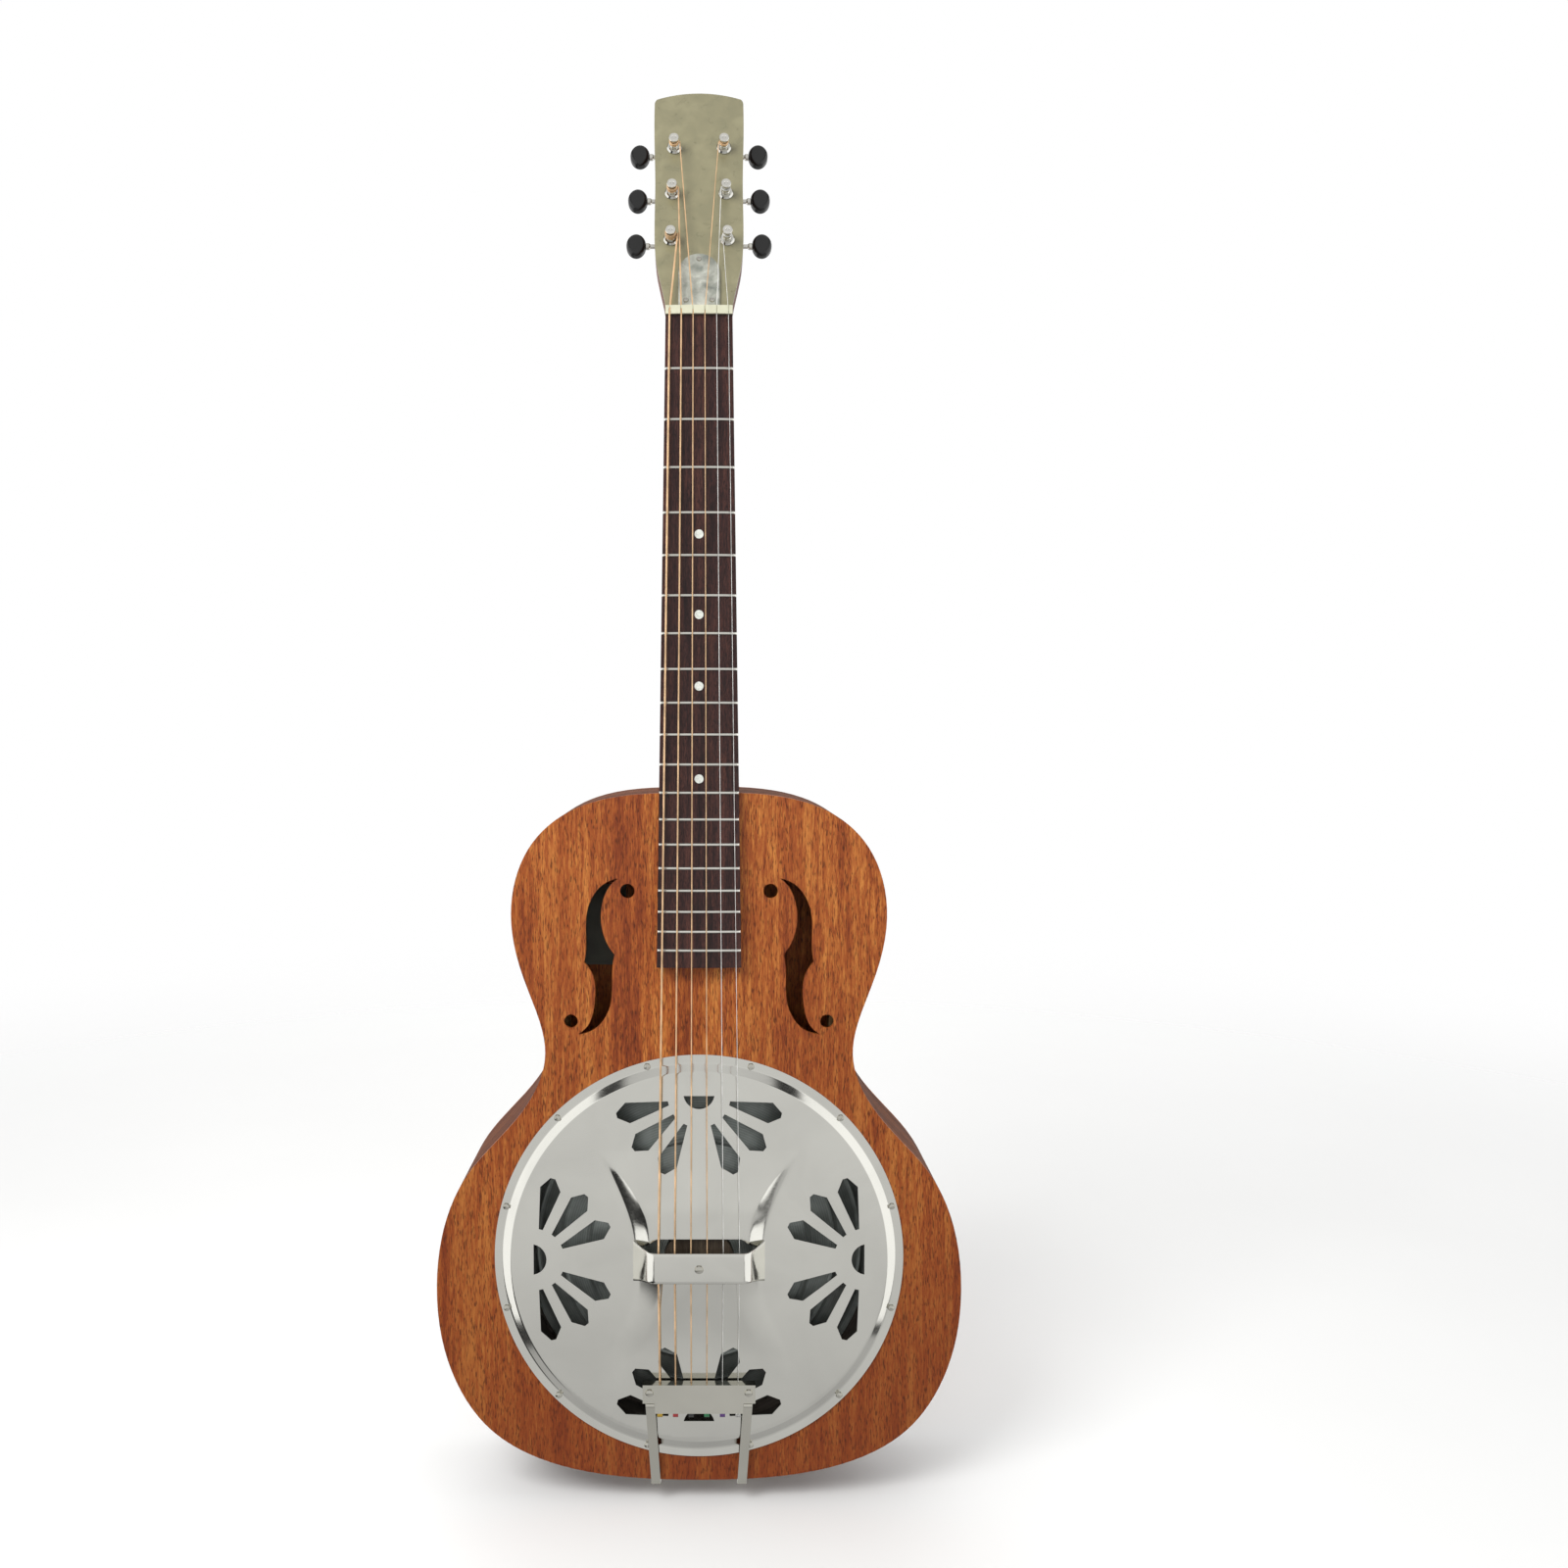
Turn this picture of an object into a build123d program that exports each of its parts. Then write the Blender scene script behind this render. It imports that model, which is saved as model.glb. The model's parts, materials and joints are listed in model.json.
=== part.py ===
from build123d import *
import math
import os

# Resonator guitar, in millimetres. +Z runs up the neck, the front faces -Y and the bass strings are at -X.
# The origin is under the strap button, at the middle of the width and of the depth.

# Scale and strings
SCALE_LENGTH = 635.0
FRET_COUNT = 19
JOIN_FRET = 12
STRING_DIAMETERS = (1.35, 1.07, 0.81, 0.61, 0.43, 0.33)
WOUND_STRINGS = 4
NUT_SPREAD = 39.0
SADDLE_SPREAD = 54.4
TAIL_SPREAD = 53.0
NUT_ACTION = 0.3
SADDLE_ACTION = 5.6

# Body
BODY_LENGTH = 474.1
BODY_DEPTH = 88.0
PANEL = 3.0
SIDE = 2.5
LINING_WIDTH = 7.0
LINING_HEIGHT = 12.0
# Half width and distance below the top of the body, from the neck round to the tail
BODY_STATIONS = (
    (61.3, 3.8),
    (91.7, 15.1),
    (112.3, 33.7),
    (127.0, 77.0),
    (118.5, 127.0),
    (104.6, 180.0),
    (121.5, 219.0),
    (158.4, 261.7),
    (179.5, 343.4),
    (169.6, 398.2),
    (142.3, 439.6),
    (118.0, 455.4),
    (84.0, 466.8),
    (44.0, 472.6),
)
INSET_STEPS = 120
NECK_BLOCK = (76.0, 46.0)
TAIL_BLOCK = (84.0, 22.0)
BACK_BRACE_STATIONS = (62.0, 195.0, 420.0)
TOP_BRACE_STATIONS = (53.5, 178.0)
BRACE = (8.0, 11.0)
LABEL_CENTRE = (-73.0, 102.0)
LABEL_SIZE = (38.0, 60.0)
LABEL_THICKNESS = 0.3

# Sound holes on the bass side, as distance from the centre line and distance below the top of the body
F_HOLE_CURVES = (
    ((54.5, 57.9), (69.0, 66.0), (76.2, 83.3), (76.4, 104.0), (77.8, 115.0)),
    ((77.8, 115.0), (71.4, 125.6), (70.6, 141.0), (76.1, 159.1), (82.2, 164.2)),
    ((82.2, 164.2), (67.4, 157.8), (59.6, 141.7), (58.8, 121.0), (57.2, 109.7)),
    ((57.2, 109.7), (64.4, 97.0), (65.8, 77.0), (59.0, 61.6), (54.5, 57.9)),
)
F_HOLE_EYES = ((48.4, 66.5, 4.9), (86.8, 155.2, 4.6))

# Resonator, measured about its centre on the soundboard's front face
PLATE_RADIUS = 139.5
PLATE_THICKNESS = 1.0
FLANGE_INNER = 133.5
DOME_RADIUS = 129.0
DOME_EDGE = 6.0
DOME_HEIGHT = 8.8
PLATEAU_HEIGHT = 13.4
PLATEAU_FLAT = 18.0
HOURGLASS_FOOT = ((62.0, 64.0), (44.0, 20.0), (43.0, 0.0), (45.0, -20.0), (67.0, -66.0))
HOURGLASS_TOP = ((57.0, 64.0), (36.0, 20.0), (35.0, 0.0), (37.0, -20.0), (61.0, -66.0))
OPENING = ((43.0, 5.6), (28.5, 15.2))
OPENING_CENTRE = 1.8
HAND_REST_FLAT = 31.0
HAND_REST_FOOT = 45.0
HAND_REST_CENTRE = 1.7
HAND_REST_WIDTH = 20.5
HAND_REST_FOOT_WIDTH = 28.0
HAND_REST_TOP = 25.8
HAND_REST_THICKNESS = 1.2
FAN_RADIUS = 112.4
PETAL = ((21.3, 1.4), (49.7, 7.1), (57.3, 1.7))
PETAL_ANGLES = (25.5, 51.0, 76.5)
HALF_MOON = (10.45, 8.8)
PLATE_SCREWS = 12
PLATE_SCREW_LENGTH = 7.0
PLATE_SCREW_CIRCLE = 136.1
WELL_HOLE_RADIUS = 123.0
WELL_OUTER = 131.0
WELL_LEDGE_INNER = 112.0
WELL_DEPTH = 25.0
LEDGE_THICKNESS = 5.0
CONE_RADIUS = 120.5
CONE_APEX = 3.0
CONE_FLAT = 24.0
CONE_SKIN = 0.6
BISCUIT_RADIUS = 24.0
BISCUIT_TOP = 10.6
SADDLE_LENGTH = 52.4
SADDLE_WIDTH = 3.0
SADDLE_SLOT = 4.0
POST_RADIUS = 5.0
POST_OFFSET = 84.0

# Tailpiece, about the resonator's centre
TAIL_LIP = -82.4
TAIL_END = -102.0
TAIL_EAR = 38.1
TAIL_WAIST = 29.8
TAIL_EAR_END = -95.0
TAIL_HEIGHT = 15.0
TAIL_SHEET = 1.4
TAIL_LIP_DROP = 6.4
TAIL_END_LIP_HALF = 28.4
TAIL_STRAP = (6.4, 1.5)
TAIL_EYE = (1.7, 5.6)
TAIL_EYE_X = 33.0
TAIL_STRAP_TOP_X = 33.5
TAIL_STRAP_END_X = 29.0
TAIL_STRAP_START = -84.2
TAIL_SCREW_Y = -87.6
TAIL_HOLE_PLAY = 0.3
TAIL_RUN = 54.0
BRACKET = (18.0, 1.5)
BALL = (2.0, 3.6)

# Neck and fingerboard
NECK_ANGLE = 1.5
TONGUE_START = 0.8
BOARD_THICKNESS = 6.5
BOARD_NUT_WIDTH = 44.5
BOARD_END_WIDTH = 56.8
BOARD_END = 434.6
CAMBER_RADIUS = 305.0
FRET = (2.0, 1.1)
TANG = (0.6, 2.0)
DOT_RADIUS = 3.0
DOT_DEPTH = 1.5
DOT_FRETS = (5, 7, 9, 12)
NUT_WIDTH = 5.6
NUT_RISE = 2.4
NECK_DEPTH_NUT = 15.0
NECK_DEPTH_HEEL = 18.0
# Height behind the soundboard's face, width and length of the heel's sections
HEEL_SECTIONS = ((0.0, 53.0, 62.0), (18.0, 51.0, 34.0), (44.0, 43.0, 21.0), (86.0, 33.0, 15.0))
ROD_CHANNEL = (6.0, 9.0)
ROD_RADIUS = 2.6

# Headstock, measured up its face from the back edge of the nut
HEAD_ANGLE = 13.0
HEAD_THICKNESS = 13.5
VENEER = 2.0
HEAD_LENGTH = 164.2
HEAD_STATIONS = ((25.2, 15.4), (28.8, 34.0), (30.0, 52.0), (29.8, 92.0), (30.6, 128.0), (30.6, 156.0))
HEAD_CORNER = (28.9, 159.4)
TRUSS_COVER = (27.5, 39.0, 1.8)
TRUSS_COVER_GAP = 0.6
TRUSS_COVER_SCREWS = ((0.0, 35.2), (-8.8, 4.6), (8.8, 4.6))
TRUSS_POCKET = (10.0, 5.0, 24.0, 10.0)
ROD_NUT = (6.0, 8.0)

# Tuning machines
# Distance from the centre line and distance up the headstock of each post on one side
TUNERS = ((19.0, 51.0), (18.2, 86.1), (17.0, 121.2))
POST = 3.0
POST_WAIST = 2.6
POST_TOP = 13.0
RUNNING = 0.05
GEAR_TEETH = 14
GEAR_PITCH_RADIUS = 6.0
GEAR_ROOT = 5.2
GEAR_TIP = 6.45
TOOTH = 0.85
GEAR_FACE = 3.5
WORM_CENTRE = 8.8
WORM_DEPTH = -19.0
WORM_CORE = 2.2
WORM_TIP = 3.2
SHAFT = 1.5
EAR_INNER = 4.0
EAR = (1.4, 5.6)
# Inner and outer edge, lower and upper end, thickness
MACHINE_PLATE = (10.1, 27.5, 37.0, 143.0, 1.2)
MACHINE_SCREW_X = 18.1
MACHINE_SCREWS = (41.0, 72.0, 107.0, 138.5)
BUSHING = (4.2, 5.1)
BUTTON_CENTRE = 24.4
BUTTON_SIZE = (13.6, 16.5, 7.4)
BUTTON_ROUND = 2.6

# Strap button
BUTTON_LENGTH = 14.5
BUTTON_HEAD = 7.25
BUTTON_NECK = 3.6
BUTTON_SHANK = (2.2, 18.0)

# Positions that follow from the driving dimensions
JOIN_DISTANCE = SCALE_LENGTH * (1 - 2 ** (-JOIN_FRET / 12))
FRONT_REACH = HAND_REST_TOP + 1.8
SOUNDBOARD_Y = -(BODY_DEPTH - FRONT_REACH) / 2
BODY_TOP_Z = BUTTON_LENGTH + BRACKET[1] + BODY_LENGTH
NUT_FRONT = JOIN_DISTANCE
NUT_BACK = NUT_FRONT + NUT_WIDTH
GEAR_PITCH = 2 * math.pi * GEAR_PITCH_RADIUS / GEAR_TEETH


def front_plane(origin, lean):
    """A plane whose local X is across, Y up and Z out of the front, leaning back by an angle in degrees."""
    angle = math.radians(lean)
    return Plane(origin=origin, x_dir=(1, 0, 0), z_dir=(0, -math.cos(angle), math.sin(angle)))


BODY = front_plane((0, SOUNDBOARD_Y, BODY_TOP_Z), 0)
RESONATOR = front_plane((0, SOUNDBOARD_Y, BODY_TOP_Z - JOIN_DISTANCE), 0)
NECK = front_plane((0, SOUNDBOARD_Y - TONGUE_START, BODY_TOP_Z), NECK_ANGLE)
HEAD = front_plane(NECK.from_local_coords((0, NUT_BACK, 0)), NECK_ANGLE + HEAD_ANGLE)


# General shapes

def prism(sketch, low, high):
    """The sketch extruded along local Z between two heights."""
    return Pos(0, 0, low) * extrude(sketch, high - low)


def turned(*profile):
    """A solid turned about local Z from a closed profile of (radius, height) points."""
    return revolve(Plane.XZ * make_face(Polyline(*profile, close=True)), Axis.Z)


def rod(start, end, radius):
    """A round bar between two points."""
    start = Vector(*start)
    end = Vector(*end)
    bar = Cylinder(radius, (end - start).length, align=(Align.CENTER, Align.CENTER, Align.MIN))
    return Plane(origin=start, z_dir=end - start) * bar


def block(low, high):
    """A box between two opposite corners."""
    sizes = [b - a for a, b in zip(low, high)]
    return Pos(*low) * Box(*sizes, align=(Align.MIN, Align.MIN, Align.MIN))


def both_sides(shape):
    """A shape with its mirror image across the centre line."""
    return shape + mirror(shape, Plane.YZ)


def fuse(shapes):
    """Touching or overlapping shapes joined into one."""
    return shapes[0] + shapes[1:]


def pan_screw(head_radius, head_height, shank_radius, shank_length):
    """A round-headed slotted screw, its head standing on local Z = 0."""
    head = turned((0, 0), (head_radius, 0), (head_radius * 0.8, head_height * 0.7), (0, head_height))
    slot = Pos(0, 0, head_height) * Box(head_radius * 2, head_radius * 0.25, head_height * 0.7)
    shank = Pos(0, 0, -shank_length / 2) * Cylinder(shank_radius, shank_length)
    return head - slot + shank


# Body

def body_outline(inset=0.0):
    """The closed plan of the body, in the soundboard's plane, moved inwards by an even distance."""
    half = [(x, -s) for x, s in BODY_STATIONS]
    points = [(0, 0), *half, (0, -BODY_LENGTH), *((-x, y) for x, y in reversed(half))]
    outline = Spline(*points, periodic=True)
    if not inset:
        return outline
    moved = []
    for step in range(INSET_STEPS):
        point = outline @ (step / INSET_STEPS)
        along = outline % (step / INSET_STEPS)
        moved.append((point.X + along.Y * inset, point.Y - along.X * inset))
    return Spline(*moved, periodic=True)


def body_face(inset=0.0):
    return make_face(body_outline(inset))


def body_ring(outer, inner, low, high):
    """A band that follows the plan of the body between two insets."""
    return prism(body_face(outer), low, high) - prism(body_face(inner), low - 1, high + 1)


def body_prism():
    return BODY * prism(body_face(), -BODY_DEPTH, 0)


def f_hole_cutter():
    curves = [Spline(*((-x, -s) for x, s in curve)) for curve in F_HOLE_CURVES]
    slot = make_face(curves)
    eyes = [Pos(-x, -s) * Circle(r) for x, s, r in F_HOLE_EYES]
    cutter = prism(slot, -PANEL - 1, 1) + [prism(eye, -PANEL - 1, 1) for eye in eyes]
    return BODY * both_sides(cutter)


def soundboard():
    well = RESONATOR * Cylinder(WELL_HOLE_RADIUS, 4 * PANEL)
    return BODY * prism(body_face(), -PANEL, 0) - well - f_hole_cutter() - plate_screw_shanks()


def back_panel():
    return BODY * prism(body_face(), -BODY_DEPTH, PANEL - BODY_DEPTH)


def half_side(other_half):
    ring = body_ring(0, SIDE, PANEL - BODY_DEPTH, -PANEL)
    return BODY * (ring - other_half) - strap_button_shank()


def bass_half():
    """A block over the bass half of the body."""
    return block((-BODY_LENGTH, -2 * BODY_LENGTH, -BODY_DEPTH), (0, BODY_LENGTH, 0))


def side_bass():
    return half_side(mirror(bass_half(), Plane.YZ))


def side_treble():
    return half_side(bass_half())


def end_block(size, at_tail):
    """A block that fills the end of the body between soundboard and back, against the sides."""
    width, length = size
    low = -BODY_LENGTH if at_tail else -length - SIDE
    high = -BODY_LENGTH + SIDE + length if at_tail else 0
    cut = block((-width / 2, low, PANEL - BODY_DEPTH), (width / 2, high, -PANEL))
    return BODY * (cut & prism(body_face(SIDE), PANEL - BODY_DEPTH, -PANEL))


def neck_block():
    return end_block(NECK_BLOCK, False)


def tail_block():
    return end_block(TAIL_BLOCK, True) - strap_button_shank() - plate_screw_shanks()


def linings():
    inner = SIDE + LINING_WIDTH
    front = body_ring(SIDE, inner, -PANEL - LINING_HEIGHT, -PANEL)
    back = body_ring(SIDE, inner, PANEL - BODY_DEPTH, PANEL + LINING_HEIGHT - BODY_DEPTH)
    blocks = [neck_block(), tail_block()]
    return Compound(children=[BODY * front - blocks, BODY * back - blocks])


def brace(station, low, high):
    width = BRACE[0]
    strip = Pos(0, -station) * Rectangle(2 * BODY_LENGTH, width)
    return prism(strip & body_face(SIDE + LINING_WIDTH + 0.5), low, high)


def braces_and_posts():
    back_face = PANEL - BODY_DEPTH
    ladder = [brace(s, back_face, back_face + BRACE[1]) for s in BACK_BRACE_STATIONS]
    top = [brace(s, -PANEL - BRACE[1], -PANEL) for s in TOP_BRACE_STATIONS]
    well_floor = -WELL_DEPTH - LEDGE_THICKNESS
    post_height = well_floor - back_face
    post = Cylinder(POST_RADIUS, post_height, align=(Align.CENTER, Align.CENTER, Align.MIN))
    posts = [
        RESONATOR * Pos(x, y, back_face) * post
        for x in (-POST_OFFSET, POST_OFFSET)
        for y in (-POST_OFFSET, POST_OFFSET)
    ]
    return Compound(children=[BODY * shape for shape in ladder + top] + posts)


def inner_label():
    paper = Pos(LABEL_CENTRE[0], -LABEL_CENTRE[1]) * Rectangle(*LABEL_SIZE)
    return BODY * prism(paper, PANEL - BODY_DEPTH, PANEL - BODY_DEPTH + LABEL_THICKNESS)


# Resonator

def soundwell_ring():
    ledge = -WELL_DEPTH
    floor = ledge - LEDGE_THICKNESS
    return RESONATOR * turned(
        (WELL_LEDGE_INNER, floor),
        (WELL_OUTER, floor),
        (WELL_OUTER, -PANEL),
        (WELL_HOLE_RADIUS, -PANEL),
        (WELL_HOLE_RADIUS, ledge),
        (WELL_LEDGE_INNER, ledge),
    ) - plate_screw_shanks()


def cone():
    """A spun cone with its flat apex to the front and its rim on the ledge of the soundwell."""
    rim = -WELL_DEPTH
    shoulder = 116.0
    ridges = 5
    step = (shoulder - CONE_FLAT) / ridges
    fall = (CONE_APEX - rim - CONE_SKIN) / ridges
    outer = [(0, CONE_APEX), (CONE_FLAT, CONE_APEX)]
    for ridge in range(1, ridges + 1):
        radius = CONE_FLAT + ridge * step
        height = CONE_APEX - ridge * fall
        outer += [(radius - 4, height + 1.4), (radius - 2, height + 1.4), (radius, height)]
    outer.append((CONE_RADIUS, rim + CONE_SKIN))
    inner = [(r, h - CONE_SKIN) for r, h in reversed(outer)]
    return RESONATOR * turned(*outer, *inner) - biscuit_screw_shank()


def biscuit():
    disc = prism(Circle(BISCUIT_RADIUS), CONE_APEX, BISCUIT_TOP)
    slot = Pos(0, 0, BISCUIT_TOP) * Box(SADDLE_LENGTH, SADDLE_WIDTH, 2 * SADDLE_SLOT)
    return RESONATOR * (disc - slot) - biscuit_screw_shank()


def saddle():
    crown = string_height_at_saddle(0) + 0.5
    edge = string_height_at_saddle(SADDLE_LENGTH / 2) + 0.5
    half = SADDLE_LENGTH / 2
    base = BISCUIT_TOP - SADDLE_SLOT
    profile = make_face(
        [
            Polyline((-half, edge), (-half, base), (half, base), (half, edge)),
            ThreePointArc((-half, edge), (0, crown), (half, edge)),
        ]
    )
    wood = Plane.XZ * prism(profile, -SADDLE_WIDTH / 2, SADDLE_WIDTH / 2)
    return RESONATOR * wood - string_grooves()


def biscuit_screw_shank():
    length = BISCUIT_TOP - SADDLE_SLOT - 0.6 - CONE_APEX + CONE_SKIN
    shank = Cylinder(1.6, length, align=(Align.CENTER, Align.CENTER, Align.MIN))
    return RESONATOR * Pos(0, 0, CONE_APEX - CONE_SKIN) * shank


def biscuit_screw():
    head = turned((0, -2.2), (2.6, -1.8), (3.6, 0), (0, 0))
    return RESONATOR * Pos(0, 0, CONE_APEX - CONE_SKIN) * head + biscuit_screw_shank()


def hourglass_section(stations, height):
    flank = Spline(*stations)
    other = mirror(flank, Plane.YZ)
    north = Line(stations[0], (-stations[0][0], stations[0][1]))
    south = Line(stations[-1], (-stations[-1][0], stations[-1][1]))
    return Pos(0, 0, height) * make_face([flank, other, north, south])


def plateau():
    """The raised middle of the cover plate, highest under the hand rest and fading at both ends."""
    foot = hourglass_section(HOURGLASS_FOOT, DOME_EDGE)
    top = hourglass_section(HOURGLASS_TOP, PLATEAU_HEIGHT)
    north = HOURGLASS_FOOT[0][1]
    south = HOURGLASS_FOOT[-1][1]
    ridge = make_face(
        Polyline(
            (south, 0),
            (south, DOME_EDGE + 1.2),
            (-PLATEAU_FLAT, PLATEAU_HEIGHT - 0.2),
            (PLATEAU_FLAT, PLATEAU_HEIGHT - 0.2),
            (north, DOME_EDGE + 1.2),
            (north, 0),
            close=True,
        )
    )
    return loft([foot, top]) & extrude(Plane.YZ * ridge, PLATE_RADIUS, both=True)


def dome():
    """Everything under the cover plate's outer surface."""
    base = -2 * PLATE_THICKNESS
    outline = [
        Line((0, DOME_HEIGHT), (0, base)),
        Line((0, base), (PLATE_RADIUS, base)),
        Polyline(
            (PLATE_RADIUS, base),
            (PLATE_RADIUS, PLATE_THICKNESS),
            (FLANGE_INNER, PLATE_THICKNESS),
            (DOME_RADIUS, DOME_EDGE),
        ),
        TangentArc((0, DOME_HEIGHT), (DOME_RADIUS, DOME_EDGE), tangent=(1, 0)),
    ]
    return revolve(Plane.XZ * make_face(outline), Axis.Z) + plateau()


def fan_cutter():
    """A half moon and six petals that spread from it towards the middle of the plate."""
    half_chord, sagitta = HALF_MOON
    moon = make_face(
        [
            Line((-half_chord, 0), (half_chord, 0)),
            ThreePointArc((-half_chord, 0), (0, -sagitta), (half_chord, 0)),
        ]
    )
    outline = [(w, -r) for r, w in PETAL] + [(-w, -r) for r, w in reversed(PETAL)]
    petal = make_face(Polyline(*outline, close=True))
    petals = [Rot(0, 0, sign * angle) * petal for angle in PETAL_ANGLES for sign in (-1, 1)]
    fan = [Pos(0, FAN_RADIUS) * shape for shape in [moon] + petals]
    return [prism(Rot(0, 0, turn) * shape, -5, 20) for turn in (0, 90, 180, 270) for shape in fan]


def opening_cutter():
    points = list(OPENING)
    points += [(-x, y) for x, y in reversed(OPENING)]
    points += [(-x, -y) for x, y in OPENING]
    points += [(x, -y) for x, y in reversed(OPENING)]
    return Pos(0, OPENING_CENTRE) * prism(make_face(Polyline(*points, close=True)), -5, 20)


def hand_rest():
    """The strap that bridges the saddle, wider at its feet."""
    foot = DOME_HEIGHT - PLATE_THICKNESS
    drop = HAND_REST_THICKNESS
    arch = make_face(
        Polyline(
            (-HAND_REST_FOOT, foot),
            (-HAND_REST_FLAT, HAND_REST_TOP),
            (HAND_REST_FLAT, HAND_REST_TOP),
            (HAND_REST_FOOT, foot),
            (HAND_REST_FOOT - 2 * drop, foot),
            (HAND_REST_FLAT - 0.5, HAND_REST_TOP - drop),
            (0.5 - HAND_REST_FLAT, HAND_REST_TOP - drop),
            (2 * drop - HAND_REST_FOOT, foot),
            close=True,
        )
    )
    band = Plane.XZ * prism(arch, -HAND_REST_FOOT_WIDTH / 2, HAND_REST_FOOT_WIDTH / 2)
    half_plan = [
        (HAND_REST_FOOT, HAND_REST_FOOT_WIDTH / 2),
        (HAND_REST_FLAT, HAND_REST_WIDTH / 2),
        (-HAND_REST_FLAT, HAND_REST_WIDTH / 2),
        (-HAND_REST_FOOT, HAND_REST_FOOT_WIDTH / 2),
    ]
    plan = make_face(Polyline(*half_plan, *((x, -y) for x, y in reversed(half_plan)), close=True))
    return Pos(0, HAND_REST_CENTRE) * (band & prism(plan, 0, 2 * HAND_REST_TOP))


def plate_screw_places():
    return PolarLocations(PLATE_SCREW_CIRCLE, PLATE_SCREWS, 90 - 180 / PLATE_SCREWS)


def plate_screw_shanks():
    shank = Cylinder(1.2, PLATE_SCREW_LENGTH, align=(Align.CENTER, Align.CENTER, Align.MAX))
    return [RESONATOR * place * Pos(0, 0, PLATE_THICKNESS) * shank for place in plate_screw_places()]


def coverplate():
    outer = dome()
    inner = Pos(0, 0, -PLATE_THICKNESS) * outer
    sheet = outer - inner - opening_cutter()
    plate = sheet - fan_cutter() + hand_rest()
    hole = Cylinder(1.6, 6)
    return RESONATOR * (plate - Pos(0, HAND_REST_CENTRE, HAND_REST_TOP) * hole) - plate_screw_shanks()


def coverplate_screws():
    small = pan_screw(2.4, 1.6, 1.2, PLATE_SCREW_LENGTH)
    rim = [RESONATOR * place * Pos(0, 0, PLATE_THICKNESS) * small for place in plate_screw_places()]
    large = pan_screw(3.0, 1.8, 1.6, HAND_REST_THICKNESS)
    return Compound(children=rim + [RESONATOR * Pos(0, HAND_REST_CENTRE, HAND_REST_TOP) * large])


# Tailpiece

def tail_plate_sketch():
    half = [
        (TAIL_EAR, TAIL_LIP),
        (TAIL_EAR, TAIL_EAR_END),
        (TAIL_WAIST, TAIL_EAR_END),
        (TAIL_WAIST, TAIL_END),
    ]
    return make_face(Polyline(*half, *((-x, y) for x, y in reversed(half)), close=True))


def tailpiece_plate():
    """A sheet with both long edges folded down, through which the strings pass to their ball ends."""
    top = TAIL_HEIGHT
    under = top - TAIL_SHEET
    sheet = prism(tail_plate_sketch(), under, top)
    half = TAIL_END_LIP_HALF
    low = top - TAIL_LIP_DROP
    north = block((-TAIL_EAR, TAIL_LIP - TAIL_SHEET, low), (TAIL_EAR, TAIL_LIP, top))
    south = block((-half, TAIL_END, low), (half, TAIL_END + TAIL_SHEET, top))
    screw_holes = [RESONATOR * place * Cylinder(1.6, 60) for place in tail_screw_places()]
    return RESONATOR * (sheet + north + south) - tail_holes() - screw_holes


def tail_screw_places():
    return [Pos(sign * TAIL_STRAP_TOP_X, TAIL_SCREW_Y, TAIL_HEIGHT) for sign in (-1, 1)]


def tail_strap():
    """One strap: a rolled eye at the plate's ear, then over the cover plate's rim and round the tail."""
    width, thick = TAIL_STRAP
    under = TAIL_HEIGHT - TAIL_SHEET
    tail = -(BODY_LENGTH - JOIN_DISTANCE)
    side_view = make_face(
        Polyline(
            (TAIL_STRAP_START, under),
            (TAIL_EAR_END - 1, under),
            (tail - thick, 2.4),
            (tail - thick, -TAIL_RUN),
            (tail + 3, -TAIL_RUN),
            (tail + 3, 0.2),
            (tail + 3, 1.3),
            (TAIL_EAR_END - 1, under - thick),
            (TAIL_STRAP_START, under - thick),
            close=True,
        )
    )
    start = TAIL_STRAP_TOP_X + 0.4
    plan = make_face(
        Polyline(
            (start - width / 2, TAIL_LIP),
            (start + width / 2, TAIL_LIP),
            (TAIL_STRAP_END_X + width / 2, tail - 9),
            (TAIL_STRAP_END_X - width / 2, tail - 9),
            close=True,
        )
    )
    strip = extrude(Plane.YZ * side_view, 60) & prism(plan, -BODY_DEPTH, 40)
    radius, length = TAIL_EYE
    eye = Pos(TAIL_EYE_X, TAIL_EAR_END - radius - 0.1, under - 0.2) * Rot(0, 90, 0) * Cylinder(radius, length)
    hole = Pos(TAIL_STRAP_TOP_X, TAIL_SCREW_Y) * Cylinder(1.6, 60)
    return strip + eye - hole


def tailpiece_straps():
    return RESONATOR * both_sides(tail_strap()) - body_prism()


def tailpiece_screws():
    screw = pan_screw(2.8, 1.7, 1.6, TAIL_SHEET + TAIL_STRAP[1] + 0.8)
    return Compound(children=[RESONATOR * place * screw for place in tail_screw_places()])


def tail_bracket():
    """The plate on the tail that ties the two straps together under the strap button."""
    height, thick = BRACKET
    middle = -BODY_DEPTH / 2
    half = TAIL_STRAP_END_X - TAIL_STRAP[0] / 2 - 0.1
    low = (-half, -BODY_LENGTH - thick, middle - height / 2)
    high = (half, -BODY_LENGTH + 3, middle + height / 2)
    return BODY * block(low, high) - body_prism() - strap_button_shank()


def strap_button_frame():
    return Plane(origin=(0, SOUNDBOARD_Y + BODY_DEPTH / 2, 0), x_dir=(1, 0, 0), z_dir=(0, 0, 1))


def strap_button_shank():
    radius, depth = BUTTON_SHANK
    bar = Cylinder(radius, depth, align=(Align.CENTER, Align.CENTER, Align.MIN))
    return strap_button_frame() * Pos(0, 0, BUTTON_LENGTH) * bar


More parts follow.
